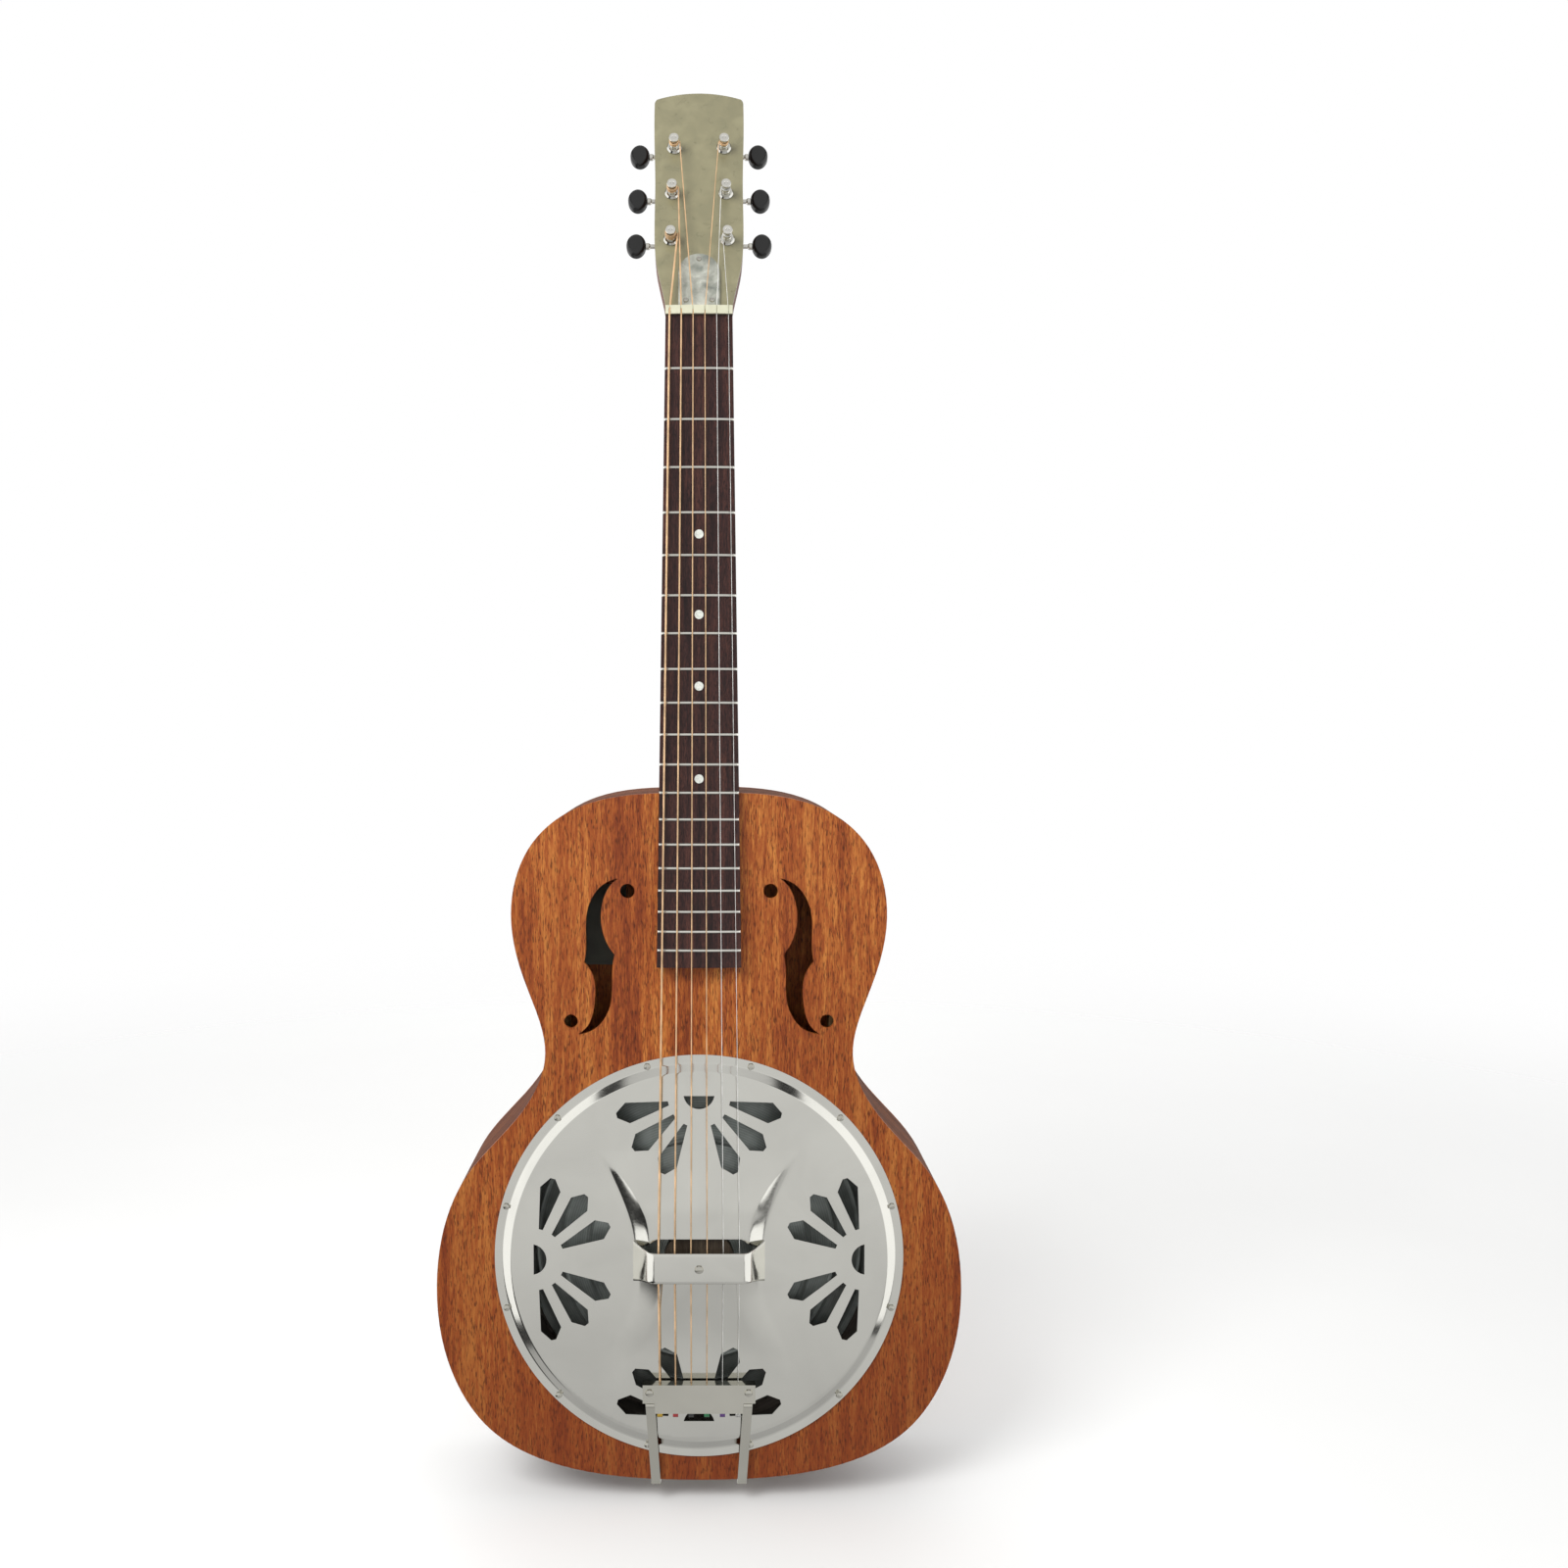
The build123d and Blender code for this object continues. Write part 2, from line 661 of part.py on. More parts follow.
def strap_button():
    knob = turned(
        (0, 0),
        (BUTTON_HEAD - 1.2, 0),
        (BUTTON_HEAD, 1.2),
        (BUTTON_HEAD, 3.8),
        (BUTTON_HEAD - 1.2, 5.0),
        (BUTTON_NECK, 7.4),
        (BUTTON_NECK, 10.0),
        (BUTTON_HEAD - 1.4, BUTTON_LENGTH - 1.4),
        (BUTTON_HEAD - 1.4, BUTTON_LENGTH),
        (0, BUTTON_LENGTH),
    )
    recess = Pos(0, 0, 0.4) * Cylinder(2.4, 2.4)
    return strap_button_frame() * (knob - recess) + strap_button_shank()


# Neck

def board_half_width(station):
    """Half the fingerboard's width at a distance below the nut."""
    return (BOARD_NUT_WIDTH + (BOARD_END_WIDTH - BOARD_NUT_WIDTH) * station / BOARD_END) / 2


def board_plan(first, last):
    """The fingerboard's plan between two distances below the nut."""
    a = board_half_width(first)
    b = board_half_width(last)
    top = NUT_FRONT - first
    bottom = NUT_FRONT - last
    return make_face(Polyline((-a, top), (a, top), (b, bottom), (-b, bottom), close=True))


def camber(rise):
    """A long cylinder along the neck whose crest is a height above the fingerboard's crown."""
    bar = Rot(90, 0, 0) * Cylinder(CAMBER_RADIUS + rise, 2 * SCALE_LENGTH)
    return Pos(0, 0, BOARD_THICKNESS - CAMBER_RADIUS) * bar


def camber_drop(x):
    return CAMBER_RADIUS - math.sqrt(CAMBER_RADIUS ** 2 - x ** 2)


def fret_station(number):
    return SCALE_LENGTH * (1 - 2 ** (-number / 12))


def fret_strip(number, width, low, high):
    """A bar across the fingerboard at a fret, as wide as the board there."""
    station = fret_station(number)
    return prism(board_plan(station - width / 2, station + width / 2), low, high)


def fret_tangs():
    low = BOARD_THICKNESS - 1.6 - TANG[1]
    return [fret_strip(n, TANG[0], low, BOARD_THICKNESS) & camber(0) for n in range(1, FRET_COUNT + 1)]


def dot_discs():
    discs = []
    for number in DOT_FRETS:
        station = (fret_station(number) + fret_station(number - 1)) / 2
        disc = Cylinder(DOT_RADIUS, DOT_DEPTH, align=(Align.CENTER, Align.CENTER, Align.MAX))
        discs.append(Pos(0, NUT_FRONT - station, BOARD_THICKNESS) * disc & camber(0))
    return discs


def fingerboard():
    blank = prism(board_plan(0, BOARD_END), 0, BOARD_THICKNESS) & camber(0)
    return NECK * (blank - fret_tangs() - dot_discs())


def frets():
    crown = camber(FRET[1]) - camber(0)
    tops = [fret_strip(n, FRET[0], 0, 2 * BOARD_THICKNESS) & crown for n in range(1, FRET_COUNT + 1)]
    return Compound(children=[NECK * (top + tang) for top, tang in zip(tops, fret_tangs())])


def position_dots():
    return Compound(children=[NECK * disc for disc in dot_discs()])


def nut():
    plan = make_face(
        Polyline(
            (-BOARD_NUT_WIDTH / 2, NUT_FRONT),
            (BOARD_NUT_WIDTH / 2, NUT_FRONT),
            (BOARD_NUT_WIDTH / 2, NUT_BACK),
            (-BOARD_NUT_WIDTH / 2, NUT_BACK),
            close=True,
        )
    )
    return NECK * (prism(plan, 0, 2 * BOARD_THICKNESS) & camber(NUT_RISE)) - string_grooves()


def shaft_section(station, width, depth):
    """A D section of the neck, flat under the fingerboard, at a height above the body joint."""
    arc = EllipticalCenterArc((0, 0), width / 2, depth, start_angle=180, arc_size=180)
    face = make_face([arc, Line((-width / 2, 0), (width / 2, 0))])
    return Plane(origin=(0, station, 0), x_dir=(1, 0, 0), z_dir=(0, -1, 0)) * face


def heel_section(depth, width, length):
    arc = EllipticalCenterArc((0, -1.5), width / 2, length + 1.5, start_angle=0, arc_size=180)
    face = make_face([arc, Line((-width / 2, -1.5), (width / 2, -1.5))])
    return Pos(0, 0, -depth) * face


def head_face():
    """The headstock's plan: waisted between the tuning machines, with a crowned top."""
    edge = Spline((BOARD_NUT_WIDTH / 2, 0), *HEAD_STATIONS)
    shoulder_x, shoulder_y = HEAD_STATIONS[-1]
    bulge = (shoulder_x - 0.8, (shoulder_y + HEAD_CORNER[1]) / 2 + 0.6)
    corner = ThreePointArc(HEAD_STATIONS[-1], bulge, HEAD_CORNER)
    crown = ThreePointArc(HEAD_CORNER, (0, HEAD_LENGTH), (-HEAD_CORNER[0], HEAD_CORNER[1]))
    foot = Line((-BOARD_NUT_WIDTH / 2, 0), (BOARD_NUT_WIDTH / 2, 0))
    return make_face([edge, corner, crown, mirror(corner, Plane.YZ), mirror(edge, Plane.YZ), foot])


def truss_pocket():
    width, low, high, depth = TRUSS_POCKET
    return HEAD * block((-width / 2, low, -depth), (width / 2, high, VENEER + 1))


def rod_channel():
    width, depth = ROD_CHANNEL
    straight = NECK * block((-width / 2, 12, -depth), (width / 2, NUT_BACK + 9, 0))
    return straight - HEAD * block((-60, -9, VENEER - 1.999), (60, 60, 30))


def neck():
    """Shaft, heel, the tongue under the fingerboard and the headstock, in one piece of wood."""
    shaft = NECK * loft(
        [
            shaft_section(-4, BOARD_NUT_WIDTH + 9.2, NECK_DEPTH_HEEL),
            shaft_section(NUT_BACK + 7, BOARD_NUT_WIDTH - 0.2, NECK_DEPTH_NUT),
        ]
    )
    shaft -= HEAD * block((-60, -1, 0), (60, 60, 30))
    heel = BODY * loft([heel_section(*section) for section in HEEL_SECTIONS])
    tongue = NECK * prism(board_plan(NUT_FRONT - 6, BOARD_END), -12, 0)
    head = HEAD * prism(head_face(), -HEAD_THICKNESS, 0)
    wood = fuse([shaft, heel, tongue, head])
    wood -= body_prism()
    wood -= NECK * block((-60, -BOARD_END, 0), (60, NUT_BACK, 60))
    wood -= rod_channel()
    wood -= truss_pocket()
    return wood - bushing_holes() - machine_screw_shanks() - cover_screw_shanks()


def headstock_veneer():
    gap = HEAD * block((-60, -9, 0), (60, 0.2, 30))
    sheet = HEAD * prism(head_face(), 0, VENEER) - gap - nut()
    return sheet - truss_pocket() - bushing_holes() - cover_screw_shanks()


def truss_rod():
    """The rod in its channel, with the hexagonal nut that tightens it in the pocket behind its cover."""
    height = -ROD_CHANNEL[1] + ROD_RADIUS + 0.2
    start, length = ROD_NUT
    bar = NECK * rod((0, 14, height), (0, NUT_BACK + start, height), ROD_RADIUS)
    hexagon = RegularPolygon(4.0, 6, major_radius=True)
    end = NECK * Plane(origin=(0, NUT_BACK + start, height), z_dir=(0, 1, 0)) * extrude(hexagon, length)
    return bar + end


def cover_sketch():
    width, length = TRUSS_COVER[:2]
    foot = TRUSS_COVER_GAP
    half = width / 2
    spring = length - half
    return make_face(
        [
            Polyline((-half, spring), (-half, foot), (half, foot), (half, spring)),
            ThreePointArc((-half, spring), (0, length), (half, spring)),
        ]
    )


def cover_screw_shanks():
    shank = Cylinder(0.9, 6, align=(Align.CENTER, Align.CENTER, Align.MAX))
    lift = VENEER + TRUSS_COVER[2]
    return [HEAD * Pos(x, y, lift) * shank for x, y in TRUSS_COVER_SCREWS]


def truss_rod_cover():
    return HEAD * prism(cover_sketch(), VENEER, VENEER + TRUSS_COVER[2]) - cover_screw_shanks()


def truss_cover_screws():
    screw = pan_screw(1.9, 1.1, 0.9, 5.8)
    lift = VENEER + TRUSS_COVER[2]
    return Compound(children=[HEAD * Pos(x, y, lift) * screw for x, y in TRUSS_COVER_SCREWS])


# Tuning machines. Each shape is made on the treble side and mirrored for the bass side.

def at_post(tuner):
    """Where a post stands, from its distances across and up the headstock."""
    return HEAD * Pos(*tuner, 0)


def each_post(shape_at):
    """A shape for every post on both sides, from a function of the tuner's place."""
    right = [shape_at(tuner) for tuner in TUNERS]
    return [mirror(shape, Plane.YZ) for shape in right] + right


def bushing_holes():
    depth = HEAD_THICKNESS + VENEER
    hole = Pos(0, 0, (VENEER - HEAD_THICKNESS) / 2) * Cylinder(BUSHING[0], depth + 2)
    return each_post(lambda tuner: at_post(tuner) * hole)


def bushing(tuner):
    sleeve, flange = BUSHING
    bore = POST + RUNNING
    ring = turned(
        (bore, -8),
        (sleeve, -8),
        (sleeve, VENEER),
        (flange, VENEER),
        (flange, VENEER + 0.8),
        (sleeve, VENEER + 2.0),
        (bore, VENEER + 2.0),
    )
    return at_post(tuner) * ring


def tuner_bushings():
    return Compound(children=each_post(bushing))


def machine_screw_places():
    return [HEAD * Pos(MACHINE_SCREW_X, u, -HEAD_THICKNESS) * Rot(0, 180, 0) for u in MACHINE_SCREWS]


def machine_screw_shanks():
    thickness = MACHINE_PLATE[4]
    shank = Pos(0, 0, thickness) * Cylinder(1.2, 8, align=(Align.CENTER, Align.CENTER, Align.MAX))
    right = [place * shank for place in machine_screw_places()]
    return right + [mirror(shape, Plane.YZ) for shape in right]


def tuner_screws():
    screw = Pos(0, 0, MACHINE_PLATE[4]) * pan_screw(2.5, 1.5, 1.2, 8)
    right = [place * screw for place in machine_screw_places()]
    return Compound(children=right + [mirror(shape, Plane.YZ) for shape in right])


def worm_frame():
    """Local Z along the worm, outwards, and local X towards the gear."""
    return Plane(origin=(0, WORM_CENTRE, WORM_DEPTH), x_dir=(0, -1, 0), z_dir=(1, 0, 0)).location


def worm_ear(offset_x):
    thickness, width = EAR
    foot = -HEAD_THICKNESS - MACHINE_PLATE[4] + 0.4
    low = (offset_x, WORM_CENTRE - width / 2, WORM_DEPTH)
    high = (offset_x + thickness, WORM_CENTRE + width / 2, foot)
    crown = Cylinder(width / 2, thickness, align=(Align.CENTER, Align.CENTER, Align.MIN))
    boss = Plane(origin=(offset_x, WORM_CENTRE, WORM_DEPTH), z_dir=(1, 0, 0)) * crown
    return block(low, high) + boss


def machine_plate():
    """A strip behind the headstock that carries three posts and the ears of their worms."""
    left, right, low, high, thickness = MACHINE_PLATE
    base = -HEAD_THICKNESS
    strip = HEAD * block((left, low, base - thickness), (right, high, base))
    ears = [at_post(tuner) * worm_ear(x) for tuner in TUNERS for x in (-EAR_INNER - EAR[0], EAR_INNER)]
    plate = strip + ears
    bore = Cylinder(SHAFT + RUNNING, 4 * EAR_INNER)
    post_hole = Pos(0, 0, base) * Cylinder(POST + RUNNING, 6)
    for tuner in TUNERS:
        plate -= at_post(tuner) * worm_frame() * bore
        plate -= at_post(tuner) * post_hole
    return plate - machine_screw_shanks()[: len(MACHINE_SCREWS)]


def tuner_baseplates():
    return Compound(children=[machine_plate(), mirror(machine_plate(), Plane.YZ)])


def tuner_post(tuner, string_radius):
    """The string post with its string wound round the waist."""
    seat = -HEAD_THICKNESS - MACHINE_PLATE[4] - 0.3
    gear_back = WORM_DEPTH - GEAR_FACE / 2
    bar = turned(
        (0, gear_back),
        (2.0, gear_back),
        (2.0, seat),
        (POST, seat),
        (POST, 5.4),
        (POST_WAIST, 6.0),
        (POST_WAIST, 11.0),
        (POST + 0.4, 11.8),
        (POST + 0.4, POST_TOP - 0.6),
        (POST - 0.2, POST_TOP),
        (0, POST_TOP),
    )
    bar -= Pos(0, 0, gear_back) * Cylinder(1.2, 8)
    bar -= Pos(0, 0, 10.2) * Rot(0, 90, 0) * Cylinder(0.8, 9)
    turns = 4
    coil = turned(
        (POST_WAIST, winding_middle() - turns * string_radius),
        (POST_WAIST + 2 * string_radius, winding_middle() - turns * string_radius),
        (POST_WAIST + 2 * string_radius, winding_middle() + turns * string_radius),
        (POST_WAIST, winding_middle() + turns * string_radius),
    )
    return at_post(tuner) * Compound(children=[bar, coil])


def winding_middle():
    """Height of the wound string above the headstock's wood."""
    return 8.6


def gear_sketch():
    """A spur wheel with a gap, not a tooth, facing the worm."""
    depth = GEAR_TIP - GEAR_ROOT + 0.4
    tooth = Pos(GEAR_TIP - depth / 2, 0) * Rectangle(depth, TOOTH)
    step = 360 / GEAR_TEETH
    teeth = [Rot(0, 0, 90 + step * (k + 0.5)) * tooth for k in range(GEAR_TEETH)]
    return Circle(GEAR_ROOT) + teeth


def tuner_gear(tuner):
    seat = -HEAD_THICKNESS - MACHINE_PLATE[4] - 0.3
    back = WORM_DEPTH - GEAR_FACE / 2
    front = WORM_DEPTH + GEAR_FACE / 2
    wheel = prism(gear_sketch(), back, front)
    hub = prism(Circle(3.6), front, seat)
    wheel = wheel + hub - prism(Circle(2.0), back - 1, seat + 1)
    screw = Pos(0, 0, back) * Rot(0, 180, 0) * pan_screw(2.9, 1.5, 1.2, 4)
    return at_post(tuner) * Compound(children=[wheel, screw])


def worm_thread():
    """Two turns of a right-hand thread, centred on local Z = 0 where it faces local +X."""
    path = Helix(pitch=GEAR_PITCH, height=2 * GEAR_PITCH, radius=WORM_CORE)
    root = 0.3
    depth = WORM_TIP - WORM_CORE
    profile = make_face(
        Polyline((-root, -0.5), (depth, -0.36), (depth, 0.36), (-root, 0.5), close=True)
    )
    start = Plane(origin=path @ 0, x_dir=(1, 0, 0), z_dir=path % 0)
    return Pos(0, 0, -GEAR_PITCH) * sweep(start * profile, path=path, is_frenet=True)


def tuner_shaft(tuner):
    shoulder = EAR_INNER - 0.35
    button_start = BUTTON_CENTRE - BUTTON_SIZE[0] / 2
    bar = turned(
        (0, -7.2),
        (SHAFT, -7.2),
        (SHAFT, -shoulder),
        (WORM_CORE, -shoulder),
        (WORM_CORE, shoulder),
        (SHAFT, shoulder),
        (SHAFT, 6.2),
        (2.3, 6.2),
        (2.3, 7.6),
        (SHAFT, 7.6),
        (SHAFT, button_start - 3.0),
        (2.3, button_start - 2.0),
        (2.3, button_start),
        (SHAFT, button_start),
        (SHAFT, BUTTON_CENTRE + 2),
        (0, BUTTON_CENTRE + 2),
    )
    return at_post(tuner) * worm_frame() * (bar + worm_thread())


def tuner_button(tuner):
    """An oval knob pressed on the end of the worm's shaft."""
    width, height, thickness = BUTTON_SIZE
    oval = prism(Ellipse(width / 2, height / 2), -thickness / 2, thickness / 2)
    knob = fillet(oval.edges(), BUTTON_ROUND)
    start = -width / 2 - 1
    bore = rod((start, 0, 0), (2, 0, 0), SHAFT)
    return at_post(tuner) * Pos(BUTTON_CENTRE, WORM_CENTRE, WORM_DEPTH) * (knob - bore)


# Strings

def across(spread, index):
    """A string's distance from the centre line, counted from the bass side."""
    return -spread / 2 + spread * index / (len(STRING_DIAMETERS) - 1)


def string_height_at_saddle(x):
    """Height of the strings' undersides above the soundboard at the saddle."""
    lift = BOARD_THICKNESS - camber_drop(x) + SADDLE_ACTION
    point = NECK.from_local_coords((x, NUT_FRONT - SCALE_LENGTH, lift))
    return RESONATOR.to_local_coords(point).Z


def string_points(index):
    """Ball end, tailpiece lip, saddle, nut and post of one string."""
    radius = STRING_DIAMETERS[index] / 2
    bass = index < len(STRING_DIAMETERS) / 2
    tail_x = across(TAIL_SPREAD, index)
    low = TAIL_HEIGHT - TAIL_LIP_DROP + 2.2
    ball = RESONATOR.from_local_coords((tail_x, TAIL_END - BALL[0] - 0.1, low + 0.4))
    lip = RESONATOR.from_local_coords((tail_x, TAIL_LIP, low))
    saddle_x = across(SADDLE_SPREAD, index)
    crown = RESONATOR.from_local_coords((saddle_x, 0, string_height_at_saddle(saddle_x) + radius))
    nut_x = across(NUT_SPREAD, index)
    lift = BOARD_THICKNESS - camber_drop(nut_x) + FRET[1] + NUT_ACTION + radius
    bend = NECK.from_local_coords((nut_x, NUT_FRONT + 1.0, lift))
    across_head, row = TUNERS[index] if bass else TUNERS[len(STRING_DIAMETERS) - 1 - index]
    side_sign = -1 if bass else 1
    post_x = side_sign * (across_head - POST_WAIST - 3 * radius - RUNNING)
    end = HEAD.from_local_coords((post_x, row, winding_middle()))
    return [ball, lip, crown, bend, end]


def string_solid(index):
    """Straight runs between a string's bearing points, with a ball at each bend."""
    radius = STRING_DIAMETERS[index] / 2
    points = string_points(index)
    runs = [rod(tuple(a), tuple(b), radius) for a, b in zip(points, points[1:])]
    bends = [Pos(*point) * Sphere(radius) for point in points[1:-1]]
    return fuse(runs + bends)


def tail_holes():
    """Straight holes for the strings through both lips of the tailpiece."""
    holes = []
    for index, diameter in enumerate(STRING_DIAMETERS):
        ball, lip = string_points(index)[:2]
        holes.append(rod(tuple(ball), tuple(lip + (lip - ball) * 0.2), diameter / 2 + TAIL_HOLE_PLAY))
    return holes


def string_grooves():
    """Grooves under the strings in the nut and the saddle, open to the front."""
    cutters = []
    for index, diameter in enumerate(STRING_DIAMETERS):
        width = diameter + 0.1
        points = string_points(index)
        cutters += [rod(tuple(a), tuple(b), width / 2) for a, b in zip(points[1:], points[2:])]
        saddle_point = RESONATOR.to_local_coords(points[2])
        cutters.append(RESONATOR * Pos(*saddle_point) * Pos(0, 0, 2.5) * Box(width, 9, 5))
        nut_point = NECK.to_local_coords(points[3])
        cutters.append(NECK * Pos(*nut_point) * Pos(0, 1, 2.5) * Box(width, 9, 5))
    return cutters


def wound_strings():
    return Compound(children=[string_solid(index) for index in range(WOUND_STRINGS)])


def plain_strings():
    plain = range(WOUND_STRINGS, len(STRING_DIAMETERS))
    return Compound(children=[string_solid(index) for index in plain])


def string_ball_ends():
    radius, length = BALL
    balls = []
    for index in range(len(STRING_DIAMETERS)):
        place = Pos(*tuple(string_points(index)[0]))
        drum = Rot(0, 90, 0) * Cylinder(radius, length)
        balls.append(place * drum - string_solid(index))
    return Compound(children=balls)


STATIC_PARTS = {
    "soundboard": soundboard,
    "back_panel": back_panel,
    "side_bass": side_bass,
    "side_treble": side_treble,
    "neck_block": neck_block,
    "tail_block": tail_block,
    "linings": linings,
    "braces_and_posts": braces_and_posts,
    "inner_label": inner_label,
    "soundwell_ring": soundwell_ring,
    "cone": cone,
    "biscuit": biscuit,
    "biscuit_screw": biscuit_screw,
    "saddle": saddle,
    "coverplate": coverplate,
    "coverplate_screws": coverplate_screws,
    "tailpiece_plate": tailpiece_plate,
    "tailpiece_straps": tailpiece_straps,
    "tailpiece_screws": tailpiece_screws,
    "tail_bracket": tail_bracket,
    "strap_button": strap_button,
    "neck": neck,
    "headstock_veneer": headstock_veneer,
    "fingerboard": fingerboard,
    "frets": frets,
    "position_dots": position_dots,
    "nut": nut,
    "truss_rod": truss_rod,
    "truss_rod_cover": truss_rod_cover,
    "truss_cover_screws": truss_cover_screws,
    "wound_strings": wound_strings,
    "plain_strings": plain_strings,
    "string_ball_ends": string_ball_ends,
    "tuner_baseplates": tuner_baseplates,
    "tuner_bushings": tuner_bushings,
    "tuner_screws": tuner_screws,
}


def write(name, shape):
    export_step(shape, f"parts/{name}.step")


os.makedirs("parts", exist_ok=True)
for part_name, make in STATIC_PARTS.items():
    write(part_name, make())

# Machines 1 to 3 are on the bass side and 4 to 6 on the treble side, each counted up from the nut
string_of_machine = (0, 1, 2, 5, 4, 3)
winding_radii = [STRING_DIAMETERS[index] / 2 for index in string_of_machine]
MOVING_PARTS = {"tuner_gear": tuner_gear, "tuner_shaft": tuner_shaft, "tuner_button": tuner_button}
for number, (tuner, winding) in enumerate(zip(TUNERS * 2, winding_radii), start=1):
    on_bass_side = number <= len(TUNERS)
    shapes = {"tuner_post": tuner_post(tuner, winding)}
    shapes.update({name: make(tuner) for name, make in MOVING_PARTS.items()})
    for name, shape in shapes.items():
        write(f"{name}_{number}", mirror(shape, Plane.YZ) if on_bass_side else shape)
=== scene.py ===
import json
import math

import bmesh
import bpy
import numpy as np
from mathutils import Matrix, Vector
from mathutils.geometry import delaunay_2d_cdt


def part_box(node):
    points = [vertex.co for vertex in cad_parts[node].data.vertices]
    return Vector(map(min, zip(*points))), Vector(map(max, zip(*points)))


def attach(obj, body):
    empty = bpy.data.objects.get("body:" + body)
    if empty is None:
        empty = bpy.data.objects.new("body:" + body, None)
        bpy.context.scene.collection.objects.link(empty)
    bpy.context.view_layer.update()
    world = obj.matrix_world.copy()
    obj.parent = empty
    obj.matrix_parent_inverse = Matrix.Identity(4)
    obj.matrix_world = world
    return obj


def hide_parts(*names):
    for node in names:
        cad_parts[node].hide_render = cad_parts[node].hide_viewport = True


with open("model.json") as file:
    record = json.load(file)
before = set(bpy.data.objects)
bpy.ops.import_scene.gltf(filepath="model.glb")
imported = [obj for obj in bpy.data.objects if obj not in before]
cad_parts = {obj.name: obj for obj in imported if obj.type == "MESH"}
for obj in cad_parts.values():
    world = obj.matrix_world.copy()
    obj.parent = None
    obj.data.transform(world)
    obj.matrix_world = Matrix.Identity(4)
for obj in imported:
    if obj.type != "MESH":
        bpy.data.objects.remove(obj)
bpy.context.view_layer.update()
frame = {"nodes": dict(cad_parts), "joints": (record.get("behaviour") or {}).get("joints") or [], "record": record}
nodes = frame["nodes"]
record = frame["record"]

# Shapes are in millimetres and turn into metres where a mesh is made. Finishes and the studio use metres.
MM = 0.001
SOUNDBOARD_THICKNESS = 3.0
FACE_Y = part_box("soundwell_ring")[0].y / MM - SOUNDBOARD_THICKNESS
TOP_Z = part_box("soundboard")[1].z / MM
JOIN = 317.5
SCALE = 635.0
FRETS = 19
NECK_LEAN = 1.5
HEAD_LEAN = 14.5
NUT_WIDTH = 5.6
BOARD_LIFT = 0.8
BOARD_THICKNESS = 6.5
BOARD_LENGTH = 434.6
BOARD_WIDTHS = (44.5, 56.8)
CAMBER = 305.0


def leaning(origin, lean):
    """Columns are local X across, Y up the part and Z out of the front, leaning back by an angle."""
    angle = math.radians(lean)
    up = (0.0, math.sin(angle), math.cos(angle))
    out = (0.0, -math.cos(angle), math.sin(angle))
    turn = Matrix(((1, 0, 0), up, out)).transposed().to_4x4()
    return Matrix.Translation(Vector(origin)) @ turn


NECK = leaning((0, FACE_Y - BOARD_LIFT, TOP_Z), NECK_LEAN)
HEAD = leaning(NECK @ Vector((0, JOIN + NUT_WIDTH, 0)), HEAD_LEAN)
RESONATOR = leaning((0, FACE_Y, TOP_Z - JOIN), 0)


# Meshes

def piece(name, verts, faces, place, body, slot, replaced=(), smooth=30.0):
    """A mesh object from local millimetres, riding on a body, smooth up to an angle in degrees."""
    mesh = bpy.data.meshes.new(name)
    mesh.from_pydata([tuple((place @ Vector(v)) * MM) for v in verts], [], faces)
    mesh.validate()
    bm = bmesh.new()
    bm.from_mesh(mesh)
    bmesh.ops.recalc_face_normals(bm, faces=bm.faces)
    bm.to_mesh(mesh)
    bm.free()
    mesh.shade_smooth()
    mesh.set_sharp_from_angle(angle=math.radians(smooth))
    obj = bpy.data.objects.new(name, mesh)
    bpy.context.scene.collection.objects.link(obj)
    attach(obj, body)
    if replaced:
        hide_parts(*replaced)
    return obj


def lathe(profile, steps):
    """Vertices and faces of a closed profile of (radius, height) points turned about local Z."""
    verts = []
    for step in range(steps):
        angle = 2 * math.pi * step / steps
        verts += [(r * math.cos(angle), r * math.sin(angle), h) for r, h in profile]
    count = len(profile)
    faces = []
    for step in range(steps):
        a = step * count
        b = (step + 1) % steps * count
        for k in range(count):
            n = (k + 1) % count
            faces.append((a + k, b + k, b + n, a + n))
    return verts, faces


def skin(rows):
    """Vertices and faces of a closed solid through rows of points, each row a closed section."""
    count = len(rows[0])
    faces = []
    for k in range(len(rows) - 1):
        for s in range(count):
            n = (s + 1) % count
            faces.append((k * count + s, k * count + n, (k + 1) * count + n, (k + 1) * count + s))
    faces.append(tuple(range(count)))
    faces.append(tuple(range((len(rows) - 1) * count, len(rows) * count)))
    return [point for row in rows for point in row], faces


def tube(points, radius, sides):
    """Vertices and faces of a closed round tube along points."""
    rows = []
    last = len(points) - 1
    normal = None
    for k, point in enumerate(points):
        along = (Vector(points[min(k + 1, last)]) - Vector(points[max(k - 1, 0)])).normalized()
        if normal is None:
            normal = along.orthogonal().normalized()
        normal = (normal - along * normal.dot(along)).normalized()
        across = along.cross(normal)
        row = []
        for s in range(sides):
            angle = 2 * math.pi * s / sides
            offset = normal * math.cos(angle) + across * math.sin(angle)
            row.append(tuple(Vector(point) + offset * radius))
        rows.append(row)
    return skin(rows)


def merged(parts):
    """Several (vertices, faces) pairs as one."""
    verts = []
    faces = []
    for part_verts, part_faces in parts:
        start = len(verts)
        verts += part_verts
        faces += [tuple(i + start for i in face) for face in part_faces]
    return verts, faces


def smoothstep(t):
    """A rise from 0 to 1 that starts and ends level."""
    t = np.clip(t, 0.0, 1.0)
    return t * t * (3 - 2 * t)


# Cover plate

